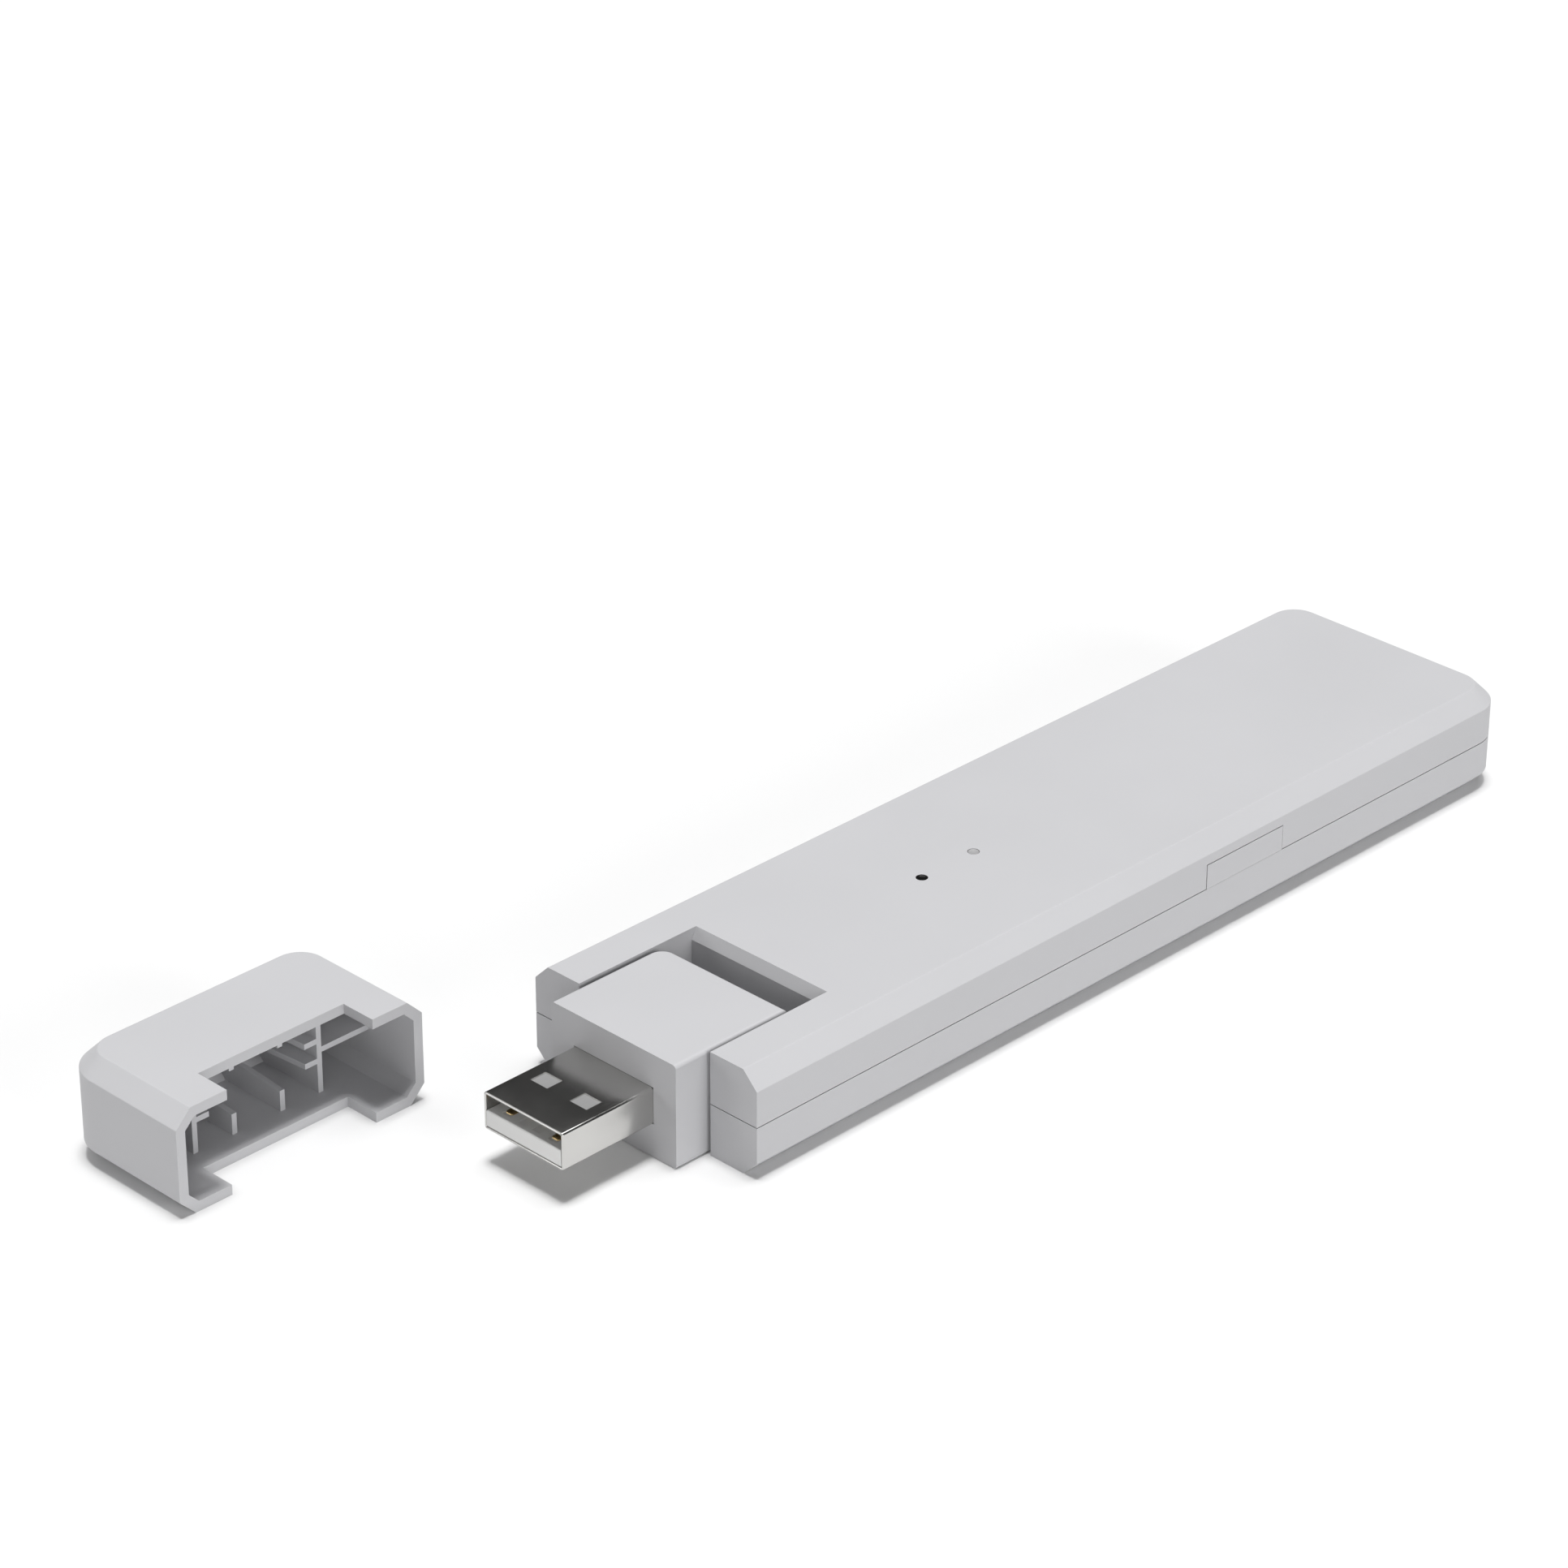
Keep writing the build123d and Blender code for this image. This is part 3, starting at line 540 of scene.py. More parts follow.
@built_once
def copper_tracks(name):
    """Copper tracks: raised lines on a square pitch, each cell running one way, with round vias."""
    tree, given, out = group_tree(name, {"Pitch": ("Float", 0.0009)},
                                  {"Track": "Float", "Via": "Float"})
    scale = tree.maths("DIVIDE", 1.0, given["Pitch"])
    cell = tree.add("VectorMath", {0: tree.place(), "Scale": scale}, operation="SCALE").outputs[0]
    wide_cell = tree.add("VectorMath", {0: cell, "Scale": 0.25}, operation="SCALE").outputs[0]
    block = tree.levelled(tree.add("VectorMath", {0: wide_cell}, operation="FLOOR").outputs[0])
    chance = tree.add("TexWhiteNoise", {"Vector": block}).outputs["Value"]
    parts = tree.add("SeparateXYZ", {0: cell}).outputs
    lines = [tree.maths("ABSOLUTE", tree.maths("SUBTRACT", tree.maths("FRACT", parts[axis]), 0.5))
             for axis in ("X", "Y")]
    across = [tree.ramp(line, 0.2, 0.16) for line in lines]
    picks = [tree.maths("LESS_THAN", chance, 0.45), tree.maths("GREATER_THAN", chance, 0.55)]
    track = tree.maths("MAXIMUM", tree.maths("MULTIPLY", across[0], picks[0]),
                       tree.maths("MULTIPLY", across[1], picks[1]))
    reach = tree.maths("SQRT", tree.maths("ADD", tree.maths("POWER", lines[0], 2.0),
                                          tree.maths("POWER", lines[1], 2.0)))
    own_cell = tree.levelled(tree.add("VectorMath", {0: cell}, operation="FLOOR").outputs[0])
    lot = tree.add("TexWhiteNoise", {"Vector": own_cell}).outputs["Value"]
    via = tree.maths("MULTIPLY", tree.ramp(reach, 0.3, 0.26), tree.maths("GREATER_THAN", lot, 0.9))
    tree.tree.links.new(track, out["Track"])
    tree.tree.links.new(via, out["Via"])
    return tree.tree


def new_material(name, **sockets):
    """A material with a Principled shader whose own sockets have those values."""
    material = bpy.data.materials.new(name)
    material.use_nodes = True
    shader = material.node_tree.nodes["Principled BSDF"]
    for key, value in sockets.items():
        shader.inputs[key.replace("_", " ")].default_value = value
    return material, Tree(material.node_tree), shader.inputs


def opaque(values):
    """A colour with its alpha."""
    return (*values, 1.0)


def put_bump(tree, shader, height, depth, normal=None):
    """Raises a height by a depth on the shader's normal, over a normal that is already rounded."""
    inputs = {"Height": height, "Distance": depth, "Strength": 1.0}
    if normal is not None:
        inputs["Normal"] = normal
    tree.tree.links.new(tree.add("Bump", inputs).outputs[0], shader["Normal"])


def lighter(values, step):
    """A colour brought towards white by a share."""
    return opaque([v + (1.0 - v) * step for v in values])


def moulded(name, values, roughness, grain, depth, rounding, wear_and_highlight=0.0):
    """Moulded plastic: textured faces, softened edges that are rubbed lighter, and a slight drift."""
    material, tree, shader = new_material(name, IOR=1.5)
    tone = tree.effect(tone_drift, colour=opaque(values), amount=0.02, size=0.02)
    edge = tree.effect(rub_and_highlight_mask, radius=RUB_AND_HIGHLIGHT_REACH * rounding, amount=wear_and_highlight,
                       breakup=RUB_AND_HIGHLIGHT_PATCHES)["Mask"]
    texture = tree.effect(fine_grain, size=grain)
    # Edge colour brought towards white: partly scuffing, partly a painted highlight along crisp edges.
    rubbed_and_highlit = tree.mixed(edge, tone["Colour"], lighter(values, RUB_AND_HIGHLIGHT_TINT))
    tree.tree.links.new(rubbed_and_highlit, shader["Base Color"])
    uneven = tree.ramp(tone["Value"], 0.0, 1.0, roughness - GLOSS_SWING, roughness + GLOSS_SWING)
    pitted = tree.maths("ADD", uneven, tree.maths("MULTIPLY", texture["Mask"], PIT_MATT))
    polished = tree.maths("SUBTRACT", pitted, tree.maths("MULTIPLY", edge, WEAR_POLISH), clamp=True)
    tree.tree.links.new(polished, shader["Roughness"])
    rounded = tree.add("Bevel", {"Radius": rounding}, samples=BEVEL_RAYS).outputs[0]
    put_bump(tree, shader, texture["Height"], depth, rounded)
    return material


def metal(name, values, roughness, line, depth, rounding=0.03 * MM, tarnish=0.05):
    """Plated or rolled metal: drawn lines, uneven gloss and a slight tarnish."""
    material, tree, shader = new_material(name, Metallic=1.0)
    tone = tree.effect(tone_drift, colour=opaque(values), amount=tarnish, size=0.004)
    streak = tree.effect(drawn_lines, size=line, length=LINE_LENGTH)
    tree.tree.links.new(tone["Colour"], shader["Base Color"])
    uneven = tree.ramp(streak["Value"], 0.0, 1.0, roughness - GLOSS_SWING, roughness + GLOSS_SWING)
    patchy = tree.maths("ADD", uneven, tree.maths("MULTIPLY", tone["Value"], tarnish), clamp=True)
    tree.tree.links.new(patchy, shader["Roughness"])
    rounded = tree.add("Bevel", {"Radius": rounding}, samples=BEVEL_RAYS).outputs[0]
    put_bump(tree, shader, streak["Height"], depth, rounded)
    return material


def finish_nodes(names, material):
    """Gives CAD nodes a material on their own slots."""
    for name in names:
        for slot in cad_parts[name].material_slots:
            slot.material = material


# ---------------------------------------------------------------- pieces


def plug_outline(plug, half_width, half_height):
    """The plug's section: a spine and its outward normals, with lines at the windows and seam.

    The spine is a rectangle. A point of the section at depth d is the spine point plus (edge
    radius less d) times the normal. The two flat sides carry the windows' edges, and the
    lower one the seam's.
    """
    reach = half_width - plug.edge_radius
    rise = half_height - plug.edge_radius
    edges = np.array([-plug.draft, 0.0, plug.window_width, plug.window_width + plug.draft])
    first = -(plug.window_spacing + plug.window_width) / 2 + edges
    second = (plug.window_spacing - plug.window_width) / 2 + edges
    seam = np.array([-0.5 - plug.seam_lean, -0.5, 0.5, 0.5 + plug.seam_lean]) * plug.seam_width
    upper = np.concatenate([[-reach], first, [0.0], second, [reach]])
    lower = np.concatenate([[-reach], first, seam, second, [reach]])[::-1]
    corner = np.radians(np.array([75.0, 60.0, 45.0, 30.0, 15.0]))
    blocks = [(upper, np.full_like(upper, rise), np.full_like(upper, math.pi / 2))]
    blocks.append((np.full(5, reach), np.full(5, rise), corner))
    blocks.append((np.full(2, reach), np.array([rise, -rise]), np.zeros(2)))
    blocks.append((np.full(5, reach), np.full(5, -rise), corner - math.pi / 2))
    blocks.append((lower, np.full_like(lower, -rise), np.full_like(lower, -math.pi / 2)))
    blocks.append((np.full(5, -reach), np.full(5, -rise), corner - math.pi))
    blocks.append((np.full(2, -reach), np.array([-rise, rise]), np.full(2, math.pi)))
    blocks.append((np.full(5, -reach), np.full(5, rise), corner + math.pi / 2))
    x, z, turn = (np.concatenate(part) for part in zip(*blocks))
    return x, z, np.cos(turn), np.sin(turn)


def plug_surface(plug):
    """The pressed shell as one closed surface, and a mask of its coined faces.

    Its section runs round the plug and its rows run up the outside from the back to the tip,
    over a half-round lip and down the inside. Depth is 0 outside and the sheet's thickness
    inside. The upper windows and the seam are dips in the outer rows, and the lower windows
    are faces left out of both sides, with walls between.
    """
    middle = (plug_low + plug_high) / 2
    half = (plug_high - plug_low) / 2
    x, z, across, up = plug_outline(plug, half.x, half.z)
    tip, back = plug_low.y, plug_high.y
    start = tip + plug.window_setback - plug.window_length / 2
    end = start + plug.window_length
    key_start = end + plug.key_setback
    key_end = key_start + plug.key_length
    key = np.array([key_start, key_start + plug.key_lean, key_end - plug.key_lean, key_end])
    rows = np.concatenate([[back], key[::-1], [end + plug.draft, end, start, start - plug.draft]])
    turn = np.radians(np.arange(0.0, 181.0, 22.5))
    lip = tip + plug.sheet / 2 * (1 - np.sin(turn))
    depth_of_lip = plug.sheet / 2 * (1 - np.cos(turn))
    y = np.concatenate([rows, lip, rows[::-1]])
    depth = np.concatenate([np.zeros(len(rows)), depth_of_lip, np.full(len(rows), plug.sheet)])
    outside = np.concatenate([np.ones(len(rows)), np.zeros(len(lip) + len(rows))])[:, None]
    flat_up = up > 0.999
    flat_down = up < -0.999
    offset = np.abs(np.abs(x) - plug.window_spacing / 2)
    in_window = (offset < plug.window_width / 2 + plug.draft / 2)[None, :]
    in_span = ((y > start - plug.draft / 2) & (y < end + plug.draft / 2))[:, None]
    seam_line = flat_down & (np.abs(x) < 2 * plug.seam_width)
    seam_floor = flat_down & (np.abs(x) < plug.seam_width)
    dip = plug.window_depth * outside * in_span * in_window * flat_up[None, :]
    dip = dip + plug.sheet / 2 * outside * seam_floor[None, :]
    sideways = np.interp(y, key, [0.0, plug.seam_key, plug.seam_key, 0.0])[:, None]
    radius = plug.edge_radius - depth[:, None] - dip
    px = x[None, :] + radius * across[None, :] + sideways * outside * seam_line[None, :]
    pz = z[None, :] + radius * up[None, :]
    py = np.broadcast_to(y[:, None], px.shape)
    points = np.stack([px + middle.x, py, pz + middle.z], -1)
    faces = grid_faces(*px.shape, wrap_rows=True, wrap_columns=True)
    flags = (in_window & in_span).reshape(-1)
    whole = flags[faces].all(axis=1)
    upper = flat_up[faces % len(x)].all(axis=1)
    lower = flat_down[faces % len(x)].all(axis=1)
    coined = whole & upper & (outside.repeat(len(x), 1).reshape(-1)[faces].all(axis=1))
    kept = ~(whole & lower)
    walls = window_walls(faces[whole & lower], len(x), len(y))
    surface = (points.reshape(-1, 3), [np.concatenate([faces[kept], walls])])
    numbers = np.concatenate([coined[kept], np.zeros(len(walls), bool)])
    return outward(surface), numbers


def window_walls(cut, columns, rows):
    """Four walls round each pair of faces cut from the outside and the inside.

    The two faces of a pair share their columns, and row r outside lies over row
    (rows - 1 - r) inside, so each edge of the outer face gets one face down to the inner edge.
    """
    outer = cut[(cut // columns).max(axis=1) < rows // 2]
    inner = (rows - 1 - outer // columns) * columns + outer % columns
    ahead = np.roll(outer, -1, axis=1)
    under = np.roll(inner, -1, axis=1)
    return np.stack([outer, ahead, under, inner], -1).reshape(-1, 4)


def contact_columns(plug):
    """Where the four contacts lie across the plug."""
    inner = plug.contact_pitch / 2
    return np.array([-plug.contact_outer, -inner, inner, plug.contact_outer])


def tongue_surface(plug):
    """The tongue with a slot for each contact, a chamfered nose, and the blocks behind it.

    The tongue's top is a height grid: a rib height, less a slot where a contact lies behind
    the nose's bar, less the chamfer on the first row.
    """
    inner_floor = plug_low.z + plug.sheet
    top = inner_floor + plug.tongue_height
    rib = top + plug.tongue_rib
    slot_half = plug.contact_width / 2 + plug.tongue_gap
    lean = plug.draft
    half_width = (plug_high.x - plug_low.x) / 2 - plug.sheet - plug.tongue_gap
    lines = np.array([-slot_half - lean, -slot_half, slot_half, slot_half + lean])
    x = np.concatenate([[-half_width, -half_width + plug.tongue_lead / 2],
                        (contact_columns(plug)[:, None] + lines).reshape(-1),
                        [half_width - plug.tongue_lead / 2, half_width]])
    nose = plug_low.y + plug.tongue_setback
    y = np.array([nose, nose + plug.tongue_lead, nose + plug.tongue_bar, nose + plug.tongue_bar + lean,
                  plug_high.y])
    near = np.abs(x[None, :] - contact_columns(plug)[:, None]).min(axis=0)
    drop = np.where(near < slot_half + lean / 2, plug.tongue_rib + plug.seat, 0.0)
    slotted = np.array([0.0, 0.0, 0.0, 1.0, 1.0])[:, None]
    edge = np.array([1.0, 0.0, 0.0, 0.0, 0.0])[:, None]
    rim = np.zeros(len(x))
    rim[[0, -1]] = plug.tongue_lead / 2
    cut = np.maximum(edge * plug.tongue_lead, rim[None, :])
    high = rib - np.maximum(drop[None, :] * slotted, cut)
    low = inner_floor + plug.tongue_gap + cut
    roof = plug_high.z - plug.sheet - plug.tongue_gap
    over = top + plug.root_rise
    root = plug_low.y + plug.tongue_root
    wide = tongue_high.x - plug.flange_inset
    flange = (np.array([tongue_low.x, -wide, wide, tongue_high.x]),
              np.array([plug_high.y, tongue_high.y]))
    body = (np.array([-half_width, half_width]), np.array([root, plug_high.y]))
    return joined([relief_block(x, y, low, high), relief_block(*body, over, roof),
                   relief_block(*flange, tongue_low.z, top - plug.seat),
                   relief_block(*flange, over, tongue_high.z)])


def contact_surface(plug):
    """Four flat springs: an eased rectangle carried along the tongue, with a rounded nose.

    Along the nose, width and height shrink as a quarter circle does.
    """
    thick = contact_high.z - contact_low.z
    section = eased_rectangle(plug.contact_width, thick, thick / 4, 3)
    turn = np.linspace(0, math.pi / 2, 7)
    springs = []
    for x in contact_columns(plug):
        outer = abs(x) > plug.contact_pitch
        start = contact_low.y + (0.0 if outer else plug.contact_step)
        nose = start + plug.contact_nose * (1 - np.sin(turn))
        places = np.concatenate([[contact_high.y], nose])
        taper = np.concatenate([[1.0], np.cos(turn)])
        widths = plug.nose_width + (1 - plug.nose_width) * taper
        heights = plug.nose_height + (1 - plug.nose_height) * taper
        points, faces = carried(section, places, widths, heights)
        foot = thick / 2 * heights.repeat(len(section))
        shift = np.stack([np.full_like(foot, x), np.zeros_like(foot), contact_low.z + foot], -1)
        springs.append((points + shift, faces))
    return joined(springs)


def pipe_surface(light, node):
    """A light pipe turned about its axis: foot, collar, stem, rounded rim and a dished face.

    The rim is a quarter circle, and the face sinks to the dish by the square of what is left
    of its radius.
    """
    low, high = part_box(node)
    centre = ((low.x + high.x) / 2, (low.y + high.y) / 2)
    stem = light.stem
    wide = (high.x - low.x) / 2
    head = high.z - light.reach
    step = head - light.collar
    turn = np.linspace(0, math.pi / 2, 7)
    inward = np.linspace(1.0, 0.02, 9)[1:]
    flat = stem - light.rim
    radii = np.concatenate([[stem * light.foot, stem, stem, wide, wide, stem],
                            flat + light.rim * np.cos(turn), flat * inward])
    heights = np.concatenate([[low.z, low.z, step, step, head, head],
                              high.z - light.rim * (1 - np.sin(turn)),
                              high.z - light.dish * (1 - inward ** 2)])
    return turned(radii, heights, centre, light.around)


def pin_surface(header):
    """Two rows of square pins: an eased square carried from the board's edge to a tapered point."""
    easing = header.pin / 10
    section = eased_rectangle(header.pin, header.pin, easing, 2)
    tail_end = pins_low.y + header.pin / 2
    places = np.array([pins_low.y, tail_end, pins_high.y - header.point, pins_high.y])
    scale = np.array([header.tail_share, 1.0, 1.0, header.point_share])
    points, faces = carried(section, places, scale, scale)
    middle = (pins_low.z + pins_high.z) / 2
    columns = (np.arange(header.columns) - (header.columns - 1) / 2) * header.pitch
    pins = [(points + (column, 0.0, middle + row * header.pitch / 2), faces)
            for column in columns for row in (-1, 1)]
    return joined(pins)


# ---------------------------------------------------------------- operators


class STICK_OT_cases(bpy.types.Operator):
    """Finishes the two shells, the plug block, its cover and the cap in matt moulded plastic"""

    bl_idname = "stick.cases"
    bl_label = "Finish Cases"

    def execute(self, context):
        case = context.scene.stick_case
        # The case edges are lightened partly as scuffing and partly as a painted highlight line.
        plastic = moulded("matt_case_plastic", case.plastic, case.roughness, grain=case.grain,
                          depth=case.grain_depth, rounding=case.edge_round, wear_and_highlight=case.edge_wear_and_highlight)
        finish_nodes(("top_shell", "bottom_shell", "swivel_housing", "swivel_cover", "cap"), plastic)
        return {"FINISHED"}


class STICK_OT_plug_shell(bpy.types.Operator):
    """Presses the plug's steel shell, with its coined windows, rounded lip and keyed seam"""

    bl_idname = "stick.plug_shell"
    bl_label = "Press Plug Shell"

    def execute(self, context):
        plug = context.scene.stick_plug
        surface, coined = plug_surface(plug)
        rolled = metal("rolled_steel", plug.steel, plug.steel_roughness, line=0.05 * MM,
                       depth=0.0004 * MM, tarnish=0.02)
        matt = metal("coined_steel", plug.coined, 0.7, line=0.12 * MM, depth=0.002 * MM)
        put_piece("pressed_plug_shell", surface, "swivel", ["plug_shell"],
                  [rolled, matt], coined)
        return {"FINISHED"}


class STICK_OT_plug_tongue(bpy.types.Operator):
    """Moulds the plug's tongue, with its contact slots and chamfered nose"""

    bl_idname = "stick.plug_tongue"
    bl_label = "Mould Plug Tongue"

    def execute(self, context):
        plug = context.scene.stick_plug
        plastic = moulded("tongue_plastic", plug.tongue, 0.42, grain=0.15 * MM,
                          depth=0.002 * MM, rounding=0.06 * MM)
        put_piece("slotted_tongue", tongue_surface(plug), "swivel",
                  ["plug_insulator"], [plastic])
        return {"FINISHED"}


class STICK_OT_contacts(bpy.types.Operator):
    """Stamps the plug's four gold contact springs"""

    bl_idname = "stick.contacts"
    bl_label = "Stamp Contacts"

    def execute(self, context):
        plug = context.scene.stick_plug
        gold = metal("contact_gold", plug.gold, 0.24, line=0.04 * MM, depth=0.0008 * MM,
                     rounding=0.02 * MM, tarnish=0.08)
        put_piece("contact_springs", contact_surface(plug), "swivel",
                  ["plug_contacts"], [gold])
        return {"FINISHED"}


class STICK_OT_light_pipes(bpy.types.Operator):
    """Turns the smoked and the frosted light pipe"""

    bl_idname = "stick.light_pipes"
    bl_label = "Turn Light Pipes"

    def execute(self, context):
        light = context.scene.stick_light
        for name, node, slot_name, values, roughness in (
            ("smoked_light_pipe", "light_pipe_front", "light_pipe_dark", light.dark, 0.25),
            ("frosted_light_pipe", "light_pipe_rear", "light_pipe_frosted", light.frosted, 0.5),
        ):
            resin = moulded(name + "_resin", values, roughness, grain=0.08 * MM,
                            depth=0.001 * MM, rounding=0.03 * MM)
            put_piece(name, pipe_surface(light, node), "base", [node], [resin])
        return {"FINISHED"}


class STICK_OT_header(bpy.types.Operator):
    """Points the target header's pins and finishes its shroud"""

    bl_idname = "stick.header"
    bl_label = "Make Target Header"

    def execute(self, context):
        header = context.scene.stick_header
        plating = context.scene.stick_plug.gold
        gold = metal("pin_gold", plating, 0.28, line=0.05 * MM, depth=0.0008 * MM,
                     rounding=0.02 * MM, tarnish=0.08)
        put_piece("pointed_header_pins", pin_surface(header), "base",
                  ["target_header_pins"], [gold])
        plastic = moulded("header_plastic", header.plastic, 0.5, grain=0.12 * MM,
                          depth=0.004 * MM, rounding=0.08 * MM, wear_and_highlight=0.06)
        finish_nodes(("target_header_shroud",), plastic)
        return {"FINISHED"}


class STICK_OT_boards(bpy.types.Operator):
    """Finishes the two boards in solder mask over copper tracks"""

    bl_idname = "stick.boards"
    bl_label = "Finish Boards"

    def execute(self, context):
        board = context.scene.stick_board
        material, tree, shader = new_material("solder_mask", Coat_Weight=0.35, Coat_Roughness=0.12)
        copper = tree.effect(copper_tracks, pitch=board.track)
        tone = tree.effect(tone_drift, colour=opaque(board.mask), amount=0.1, size=0.01)
        over_track = tree.mixed(copper["Track"], tone["Colour"], lighter(board.mask, 0.06))
        over_via = tree.mixed(copper["Via"], over_track, opaque(board.tin))
        tree.tree.links.new(over_via, shader["Base Color"])
        tree.tree.links.new(copper["Via"], shader["Metallic"])
        weave = tree.noise(WEAVE)
        tree.tree.links.new(tree.ramp(weave, 0.3, 0.7, 0.32, 0.42), shader["Roughness"])
        raised = tree.maths("MAXIMUM", copper["Track"], copper["Via"])
        put_bump(tree, shader, raised, 0.03 * MM)
        finish_nodes(("main_board", "plug_board"), material)
        return {"FINISHED"}


def chip_material(board, node, dot_radius):
    """Moulded epoxy with a round mark by the first lead's corner of that chip."""
    low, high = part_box(node)
    material = moulded(node + "_epoxy", board.package, 0.55, grain=0.1 * MM,
                       depth=0.004 * MM, rounding=0.05 * MM, wear_and_highlight=0.05)
    tree = Tree(material.node_tree)
    shader = material.node_tree.nodes["Principled BSDF"].inputs
    inset = 2.6 * dot_radius
    corner = (low.x + inset, low.y + inset, 0.0)
    mark = tree.effect(round_mark, place=corner, radius=dot_radius)["Mask"]
    under = shader["Base Color"].links[0].from_socket
    dotted = tree.mixed(mark, under, lighter(board.package, 0.12))
    tree.tree.links.new(dotted, shader["Base Color"])
    return material


class STICK_OT_chips(bpy.types.Operator):
    """Finishes the chips' moulded bodies and their tinned leads"""

    bl_idname = "stick.chips"
    bl_label = "Finish Chips"

    def execute(self, context):
        board = context.scene.stick_board
        tin = metal("lead_tin", board.tin, 0.34, line=0.05 * MM, depth=0.001 * MM, tarnish=0.1)
        for node, dot in (("microcontroller", 0.45), ("level_shifter", 0.3), ("flash_memory", 0.3),
                          ("voltage_regulator", 0.25)):
            finish_nodes((node,), chip_material(board, node, dot * MM))
            finish_nodes((node + "_leads",), tin)
        return {"FINISHED"}


# Chip parts with tinned ends: the body's colour, then in millimetres across the stick where their
# columns are centred, how far a column stands from there, and how far its bare body reaches
BANDED_PARTS = (
    ("ceramic_capacitors", (0.42, 0.26, 0.13), 0.0, 7.0, 0.62),
    ("tantalum_capacitors", (0.62, 0.30, 0.05), 4.25, 7.25, 1.05),
    ("resistors", (0.03, 0.03, 0.035), 0.0, 4.5, 0.62),
    ("resettable_fuse", (0.05, 0.16, 0.10), 0.0, 0.0, 1.75),
    ("status_leds", (0.80, 0.78, 0.66), 0.0, 0.0, 0.5),
)


def banded(name, board, values, middle, column, reach, roughness=0.5):
    """A small chip part: its body's colour, with a tinned band at each end."""
    material, tree, shader = new_material(name)
    band = tree.effect(end_bands, middle=middle, column=column, reach=reach)["Mask"]
    tone = tree.effect(tone_drift, colour=opaque(values), amount=0.12, size=0.001)
    tree.tree.links.new(tree.mixed(band, tone["Colour"], opaque(board.tin)), shader["Base Color"])
    tree.tree.links.new(band, shader["Metallic"])
    gloss = tree.ramp(tone["Value"], 0.0, 1.0, roughness - 0.1, roughness)
    tree.tree.links.new(gloss, shader["Roughness"])
    rounded = tree.add("Bevel", {"Radius": 0.06 * MM}, samples=BEVEL_RAYS).outputs[0]
    texture = tree.effect(fine_grain, size=0.08 * MM)["Height"]
    put_bump(tree, shader, texture, 0.002 * MM, rounded)
    return material


class STICK_OT_small_parts(bpy.types.Operator):
    """Finishes the capacitors, resistors, fuse, LEDs, crystal, lead, connectors, screws and washers"""

    bl_idname = "stick.small_parts"
    bl_label = "Finish Small Parts"

    def execute(self, context):
        board = context.scene.stick_board
        for node, values, middle, column, reach in BANDED_PARTS:
            finish = banded(node + "_finish", board, values, middle * MM, column * MM, reach * MM)
            finish_nodes((node,), finish)
        can = metal("can_steel", board.can, 0.26, line=0.08 * MM, depth=0.001 * MM)
        finish_nodes(("crystal",), can)
        screw = metal("screw_steel", board.screw, 0.3, line=0.05 * MM, depth=0.001 * MM)
        finish_nodes(("board_screws",), screw)
        connector = moulded("connector_nylon", board.connector, 0.45, grain=0.15 * MM,
                            depth=0.003 * MM, rounding=0.1 * MM, wear_and_highlight=0.02)
        finish_nodes(("lead_plug", "lead_socket"), connector)
        washer = moulded("washer_nylon", board.washer, 0.4, grain=0.1 * MM,
                         depth=0.002 * MM, rounding=0.05 * MM, wear_and_highlight=0.02)
        finish_nodes(("friction_washers",), washer)
        jacket = moulded("lead_jacket", board.jacket, 0.5, grain=0.1 * MM,
                         depth=0.003 * MM, rounding=0.03 * MM)
        finish_nodes(("usb_lead_swivel", "usb_lead_base"), jacket)
        return {"FINISHED"}


def soft_light(name, watts, width, azimuth, elevation):
    """A light as even as daylight from a broad patch of sky, wide and placed in degrees."""
    light = bpy.data.lights.new(name, "SUN")
    light.energy = watts
    light.angle = math.radians(width)
    lamp = bpy.data.objects.new(name, light)
    a, e = math.radians(azimuth), math.radians(elevation)
    away = Vector((math.sin(a) * math.cos(e), -math.cos(a) * math.cos(e), math.sin(e)))
    lamp.location = away
    lamp.rotation_mode = "QUATERNION"
    lamp.rotation_quaternion = away.to_track_quat("Z", "Y")
    bpy.context.scene.collection.objects.link(lamp)


def make_backdrop(stage):
    """Faint light from all round, behind a backdrop as pale as the floor."""
    world = bpy.data.worlds.new("studio")
    world.use_nodes = True
    tree = Tree(world.node_tree)
    seen = tree.add("LightPath").outputs["Is Camera Ray"]
    shine = tree.ramp(seen, 0.0, 1.0, stage.ambient, stage.backdrop)
    background = world.node_tree.nodes["Background"].inputs
    background["Color"].default_value = (1.0, 1.0, 1.0, 1.0)
    world.node_tree.links.new(shine, background["Strength"])
    bpy.context.scene.world = world


def make_camera(stage):
    """The camera, looking back along its azimuth and elevation at the aim, rolled about its axis."""
    a, e, r = stage.azimuth, stage.elevation, stage.roll
    back = Vector((math.sin(a) * math.cos(e), -math.cos(a) * math.cos(e), math.sin(e)))
    level = Vector((math.cos(a), math.sin(a), 0.0))
    upright = back.cross(level)
    right = level * math.cos(r) + upright * math.sin(r)
    up = upright * math.cos(r) - level * math.sin(r)
    data = bpy.data.cameras.new("camera")
    data.lens = stage.lens
    data.clip_start, data.clip_end = 0.01, 20.0
    camera = bpy.data.objects.new("camera", data)
    turn = Matrix((right, up, back)).transposed().to_4x4()
    camera.matrix_world = Matrix.Translation(Vector(stage.aim) + back * stage.distance) @ turn
    bpy.context.scene.collection.objects.link(camera)
    bpy.context.scene.camera = camera


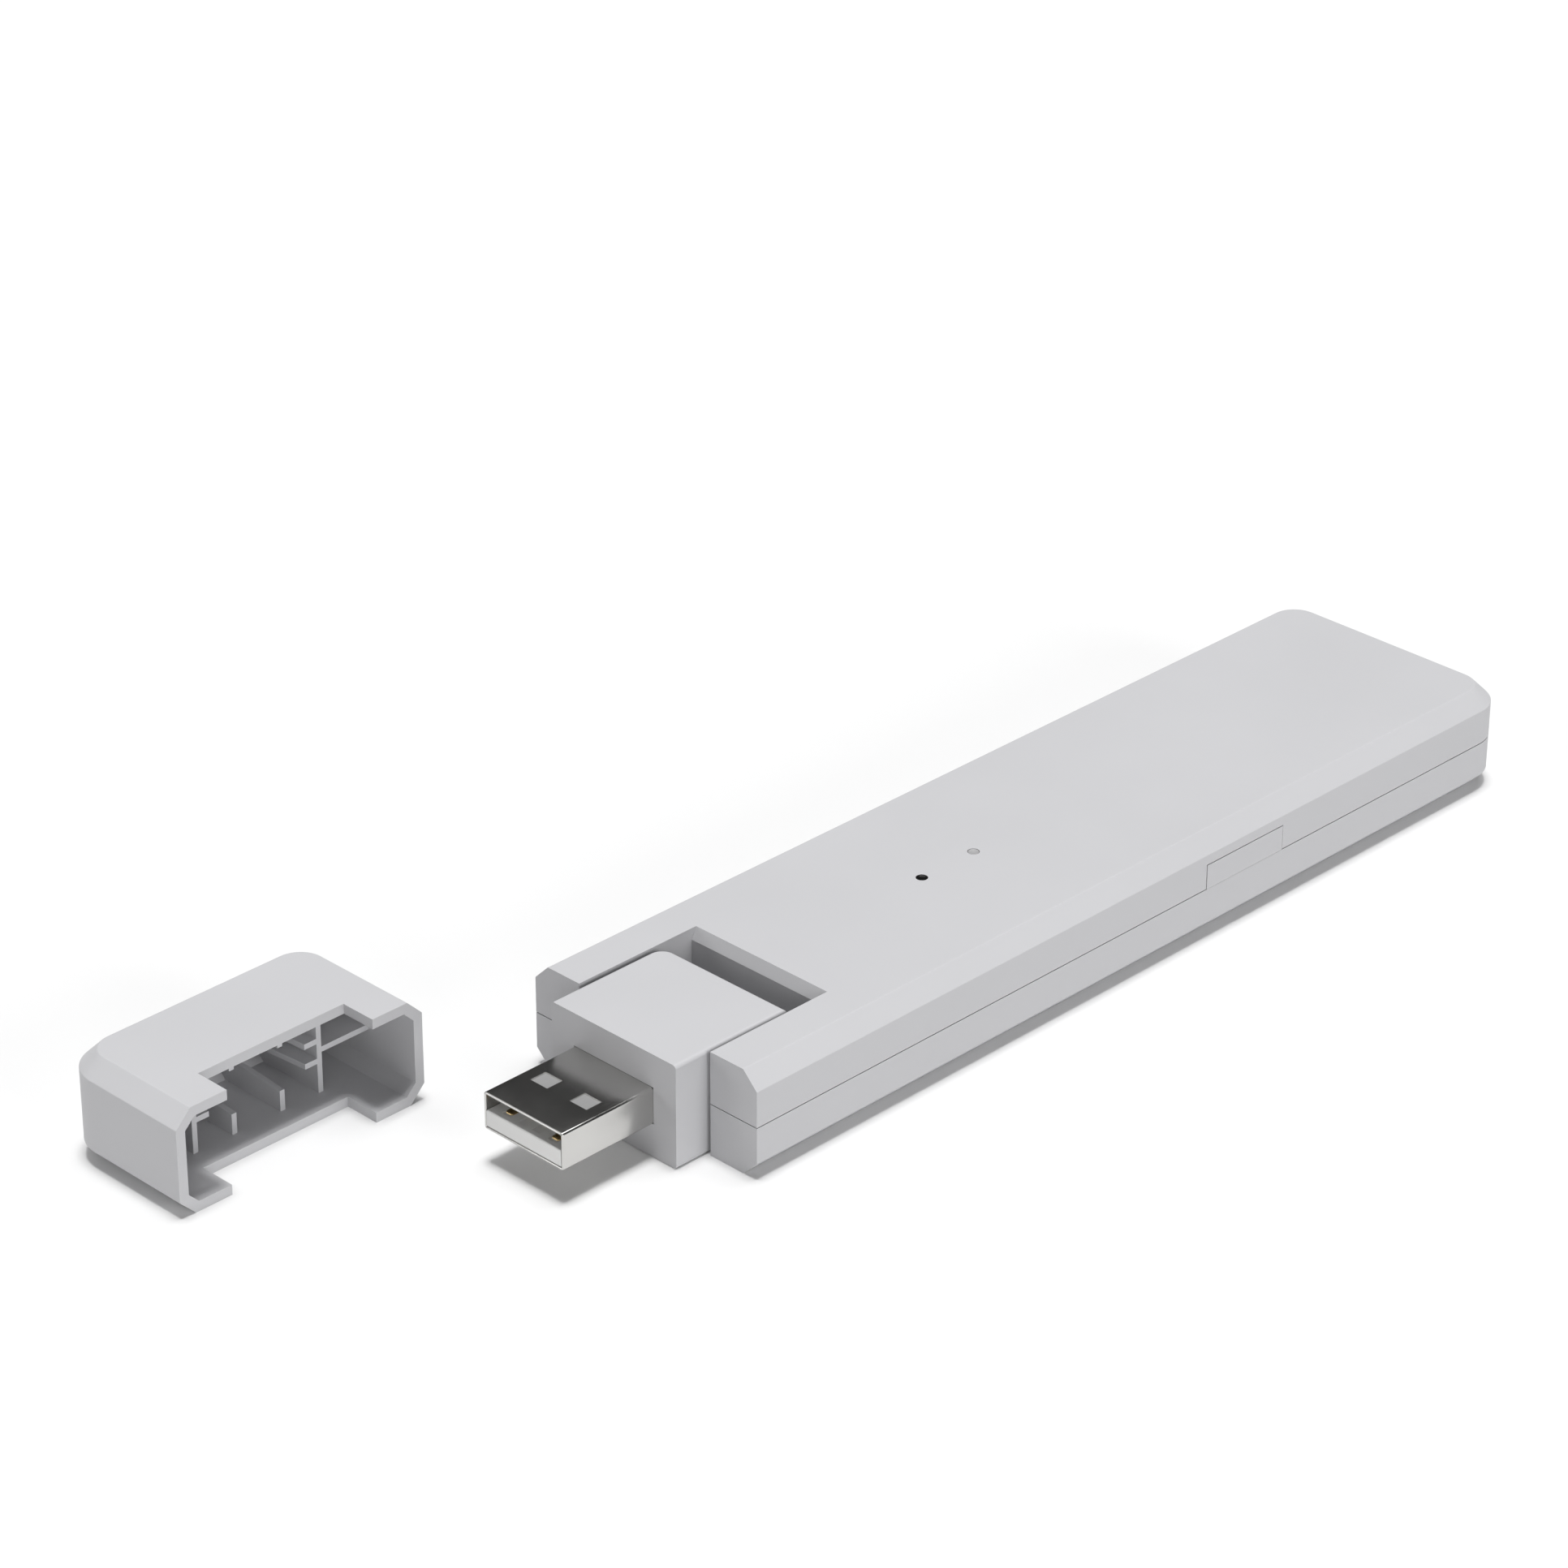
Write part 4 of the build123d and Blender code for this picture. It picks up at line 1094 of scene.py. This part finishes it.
def make_floor(stage):
    """A flat square floor with a faint unevenness in its matt white finish."""
    material, tree, shader = new_material("floor_white", IOR=1.3)
    tone = tree.effect(tone_drift, colour=opaque(stage.floor), amount=0.01, size=0.3)
    tree.tree.links.new(tone["Colour"], shader["Base Color"])
    tree.tree.links.new(tree.ramp(tone["Value"], 0.0, 1.0, 0.85, 0.95), shader["Roughness"])
    half = stage.floor_size / 2
    x, y = np.meshgrid(np.linspace(-half, half, 9), np.linspace(-half, half, 9))
    points = np.stack([x, y, np.zeros_like(x)], -1).reshape(-1, 3)
    mesh = bpy.data.meshes.new("floor")
    mesh.from_pydata(points.tolist(), [], grid_faces(*x.shape).tolist())
    mesh.materials.append(material)
    floor = bpy.data.objects.new("floor", mesh)
    bpy.context.scene.collection.objects.link(floor)


class STICK_OT_stage(bpy.types.Operator):
    """Sets the camera, a plain pale floor and soft studio lights"""

    bl_idname = "stick.stage"
    bl_label = "Set Stage"

    def execute(self, context):
        stage = context.scene.stick_stage
        make_camera(stage)
        make_floor(stage)
        make_backdrop(stage)
        for name, (width, azimuth, elevation) in LIGHTS.items():
            soft_light(name + "_light", getattr(stage, name), width, azimuth, elevation)
        context.scene.view_settings.view_transform = "Standard"
        return {"FINISHED"}


class STICK_PT_panel(bpy.types.Panel):
    """Lists the stick's operators and its settings"""

    bl_idname = "STICK_PT_panel"
    bl_label = "Programmer Stick"
    bl_space_type = "VIEW_3D"
    bl_region_type = "UI"
    bl_category = "Stick"

    def draw(self, context):
        for operator in OPERATORS:
            self.layout.operator(operator.bl_idname)
        for name, group in SETTINGS:
            box = self.layout.box()
            box.label(text=group.__doc__.rstrip("."))
            values = getattr(context.scene, name)
            for key in group.__annotations__:
                box.prop(values, key)


OPERATORS = (STICK_OT_stage, STICK_OT_cases, STICK_OT_plug_shell, STICK_OT_plug_tongue,
             STICK_OT_contacts, STICK_OT_light_pipes, STICK_OT_header, STICK_OT_boards,
             STICK_OT_chips, STICK_OT_small_parts)
SETTINGS = (("stick_case", StickCaseSettings), ("stick_plug", StickPlugSettings),
            ("stick_light", StickLightSettings), ("stick_header", StickHeaderSettings),
            ("stick_board", StickBoardSettings), ("stick_stage", StickStageSettings))


def register():
    for name, group in SETTINGS:
        bpy.utils.register_class(group)
        setattr(bpy.types.Scene, name, PointerProperty(type=group))
    for operator in (*OPERATORS, STICK_PT_panel):
        bpy.utils.register_class(operator)


def unregister():
    for operator in reversed((*OPERATORS, STICK_PT_panel)):
        bpy.utils.unregister_class(operator)
    for name, group in reversed(SETTINGS):
        delattr(bpy.types.Scene, name)
        bpy.utils.unregister_class(group)


def main():
    """Registers the add-on, makes everything in order and writes the two boxes' corners."""
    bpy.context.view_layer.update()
    register()
    bpy.ops.stick.stage()
    bpy.ops.stick.cases()
    bpy.ops.stick.plug_shell()
    bpy.ops.stick.plug_tongue()
    bpy.ops.stick.contacts()
    bpy.ops.stick.light_pipes()
    bpy.ops.stick.header()
    bpy.ops.stick.boards()
    bpy.ops.stick.chips()
    bpy.ops.stick.small_parts()


if __name__ == "__main__":
    main()
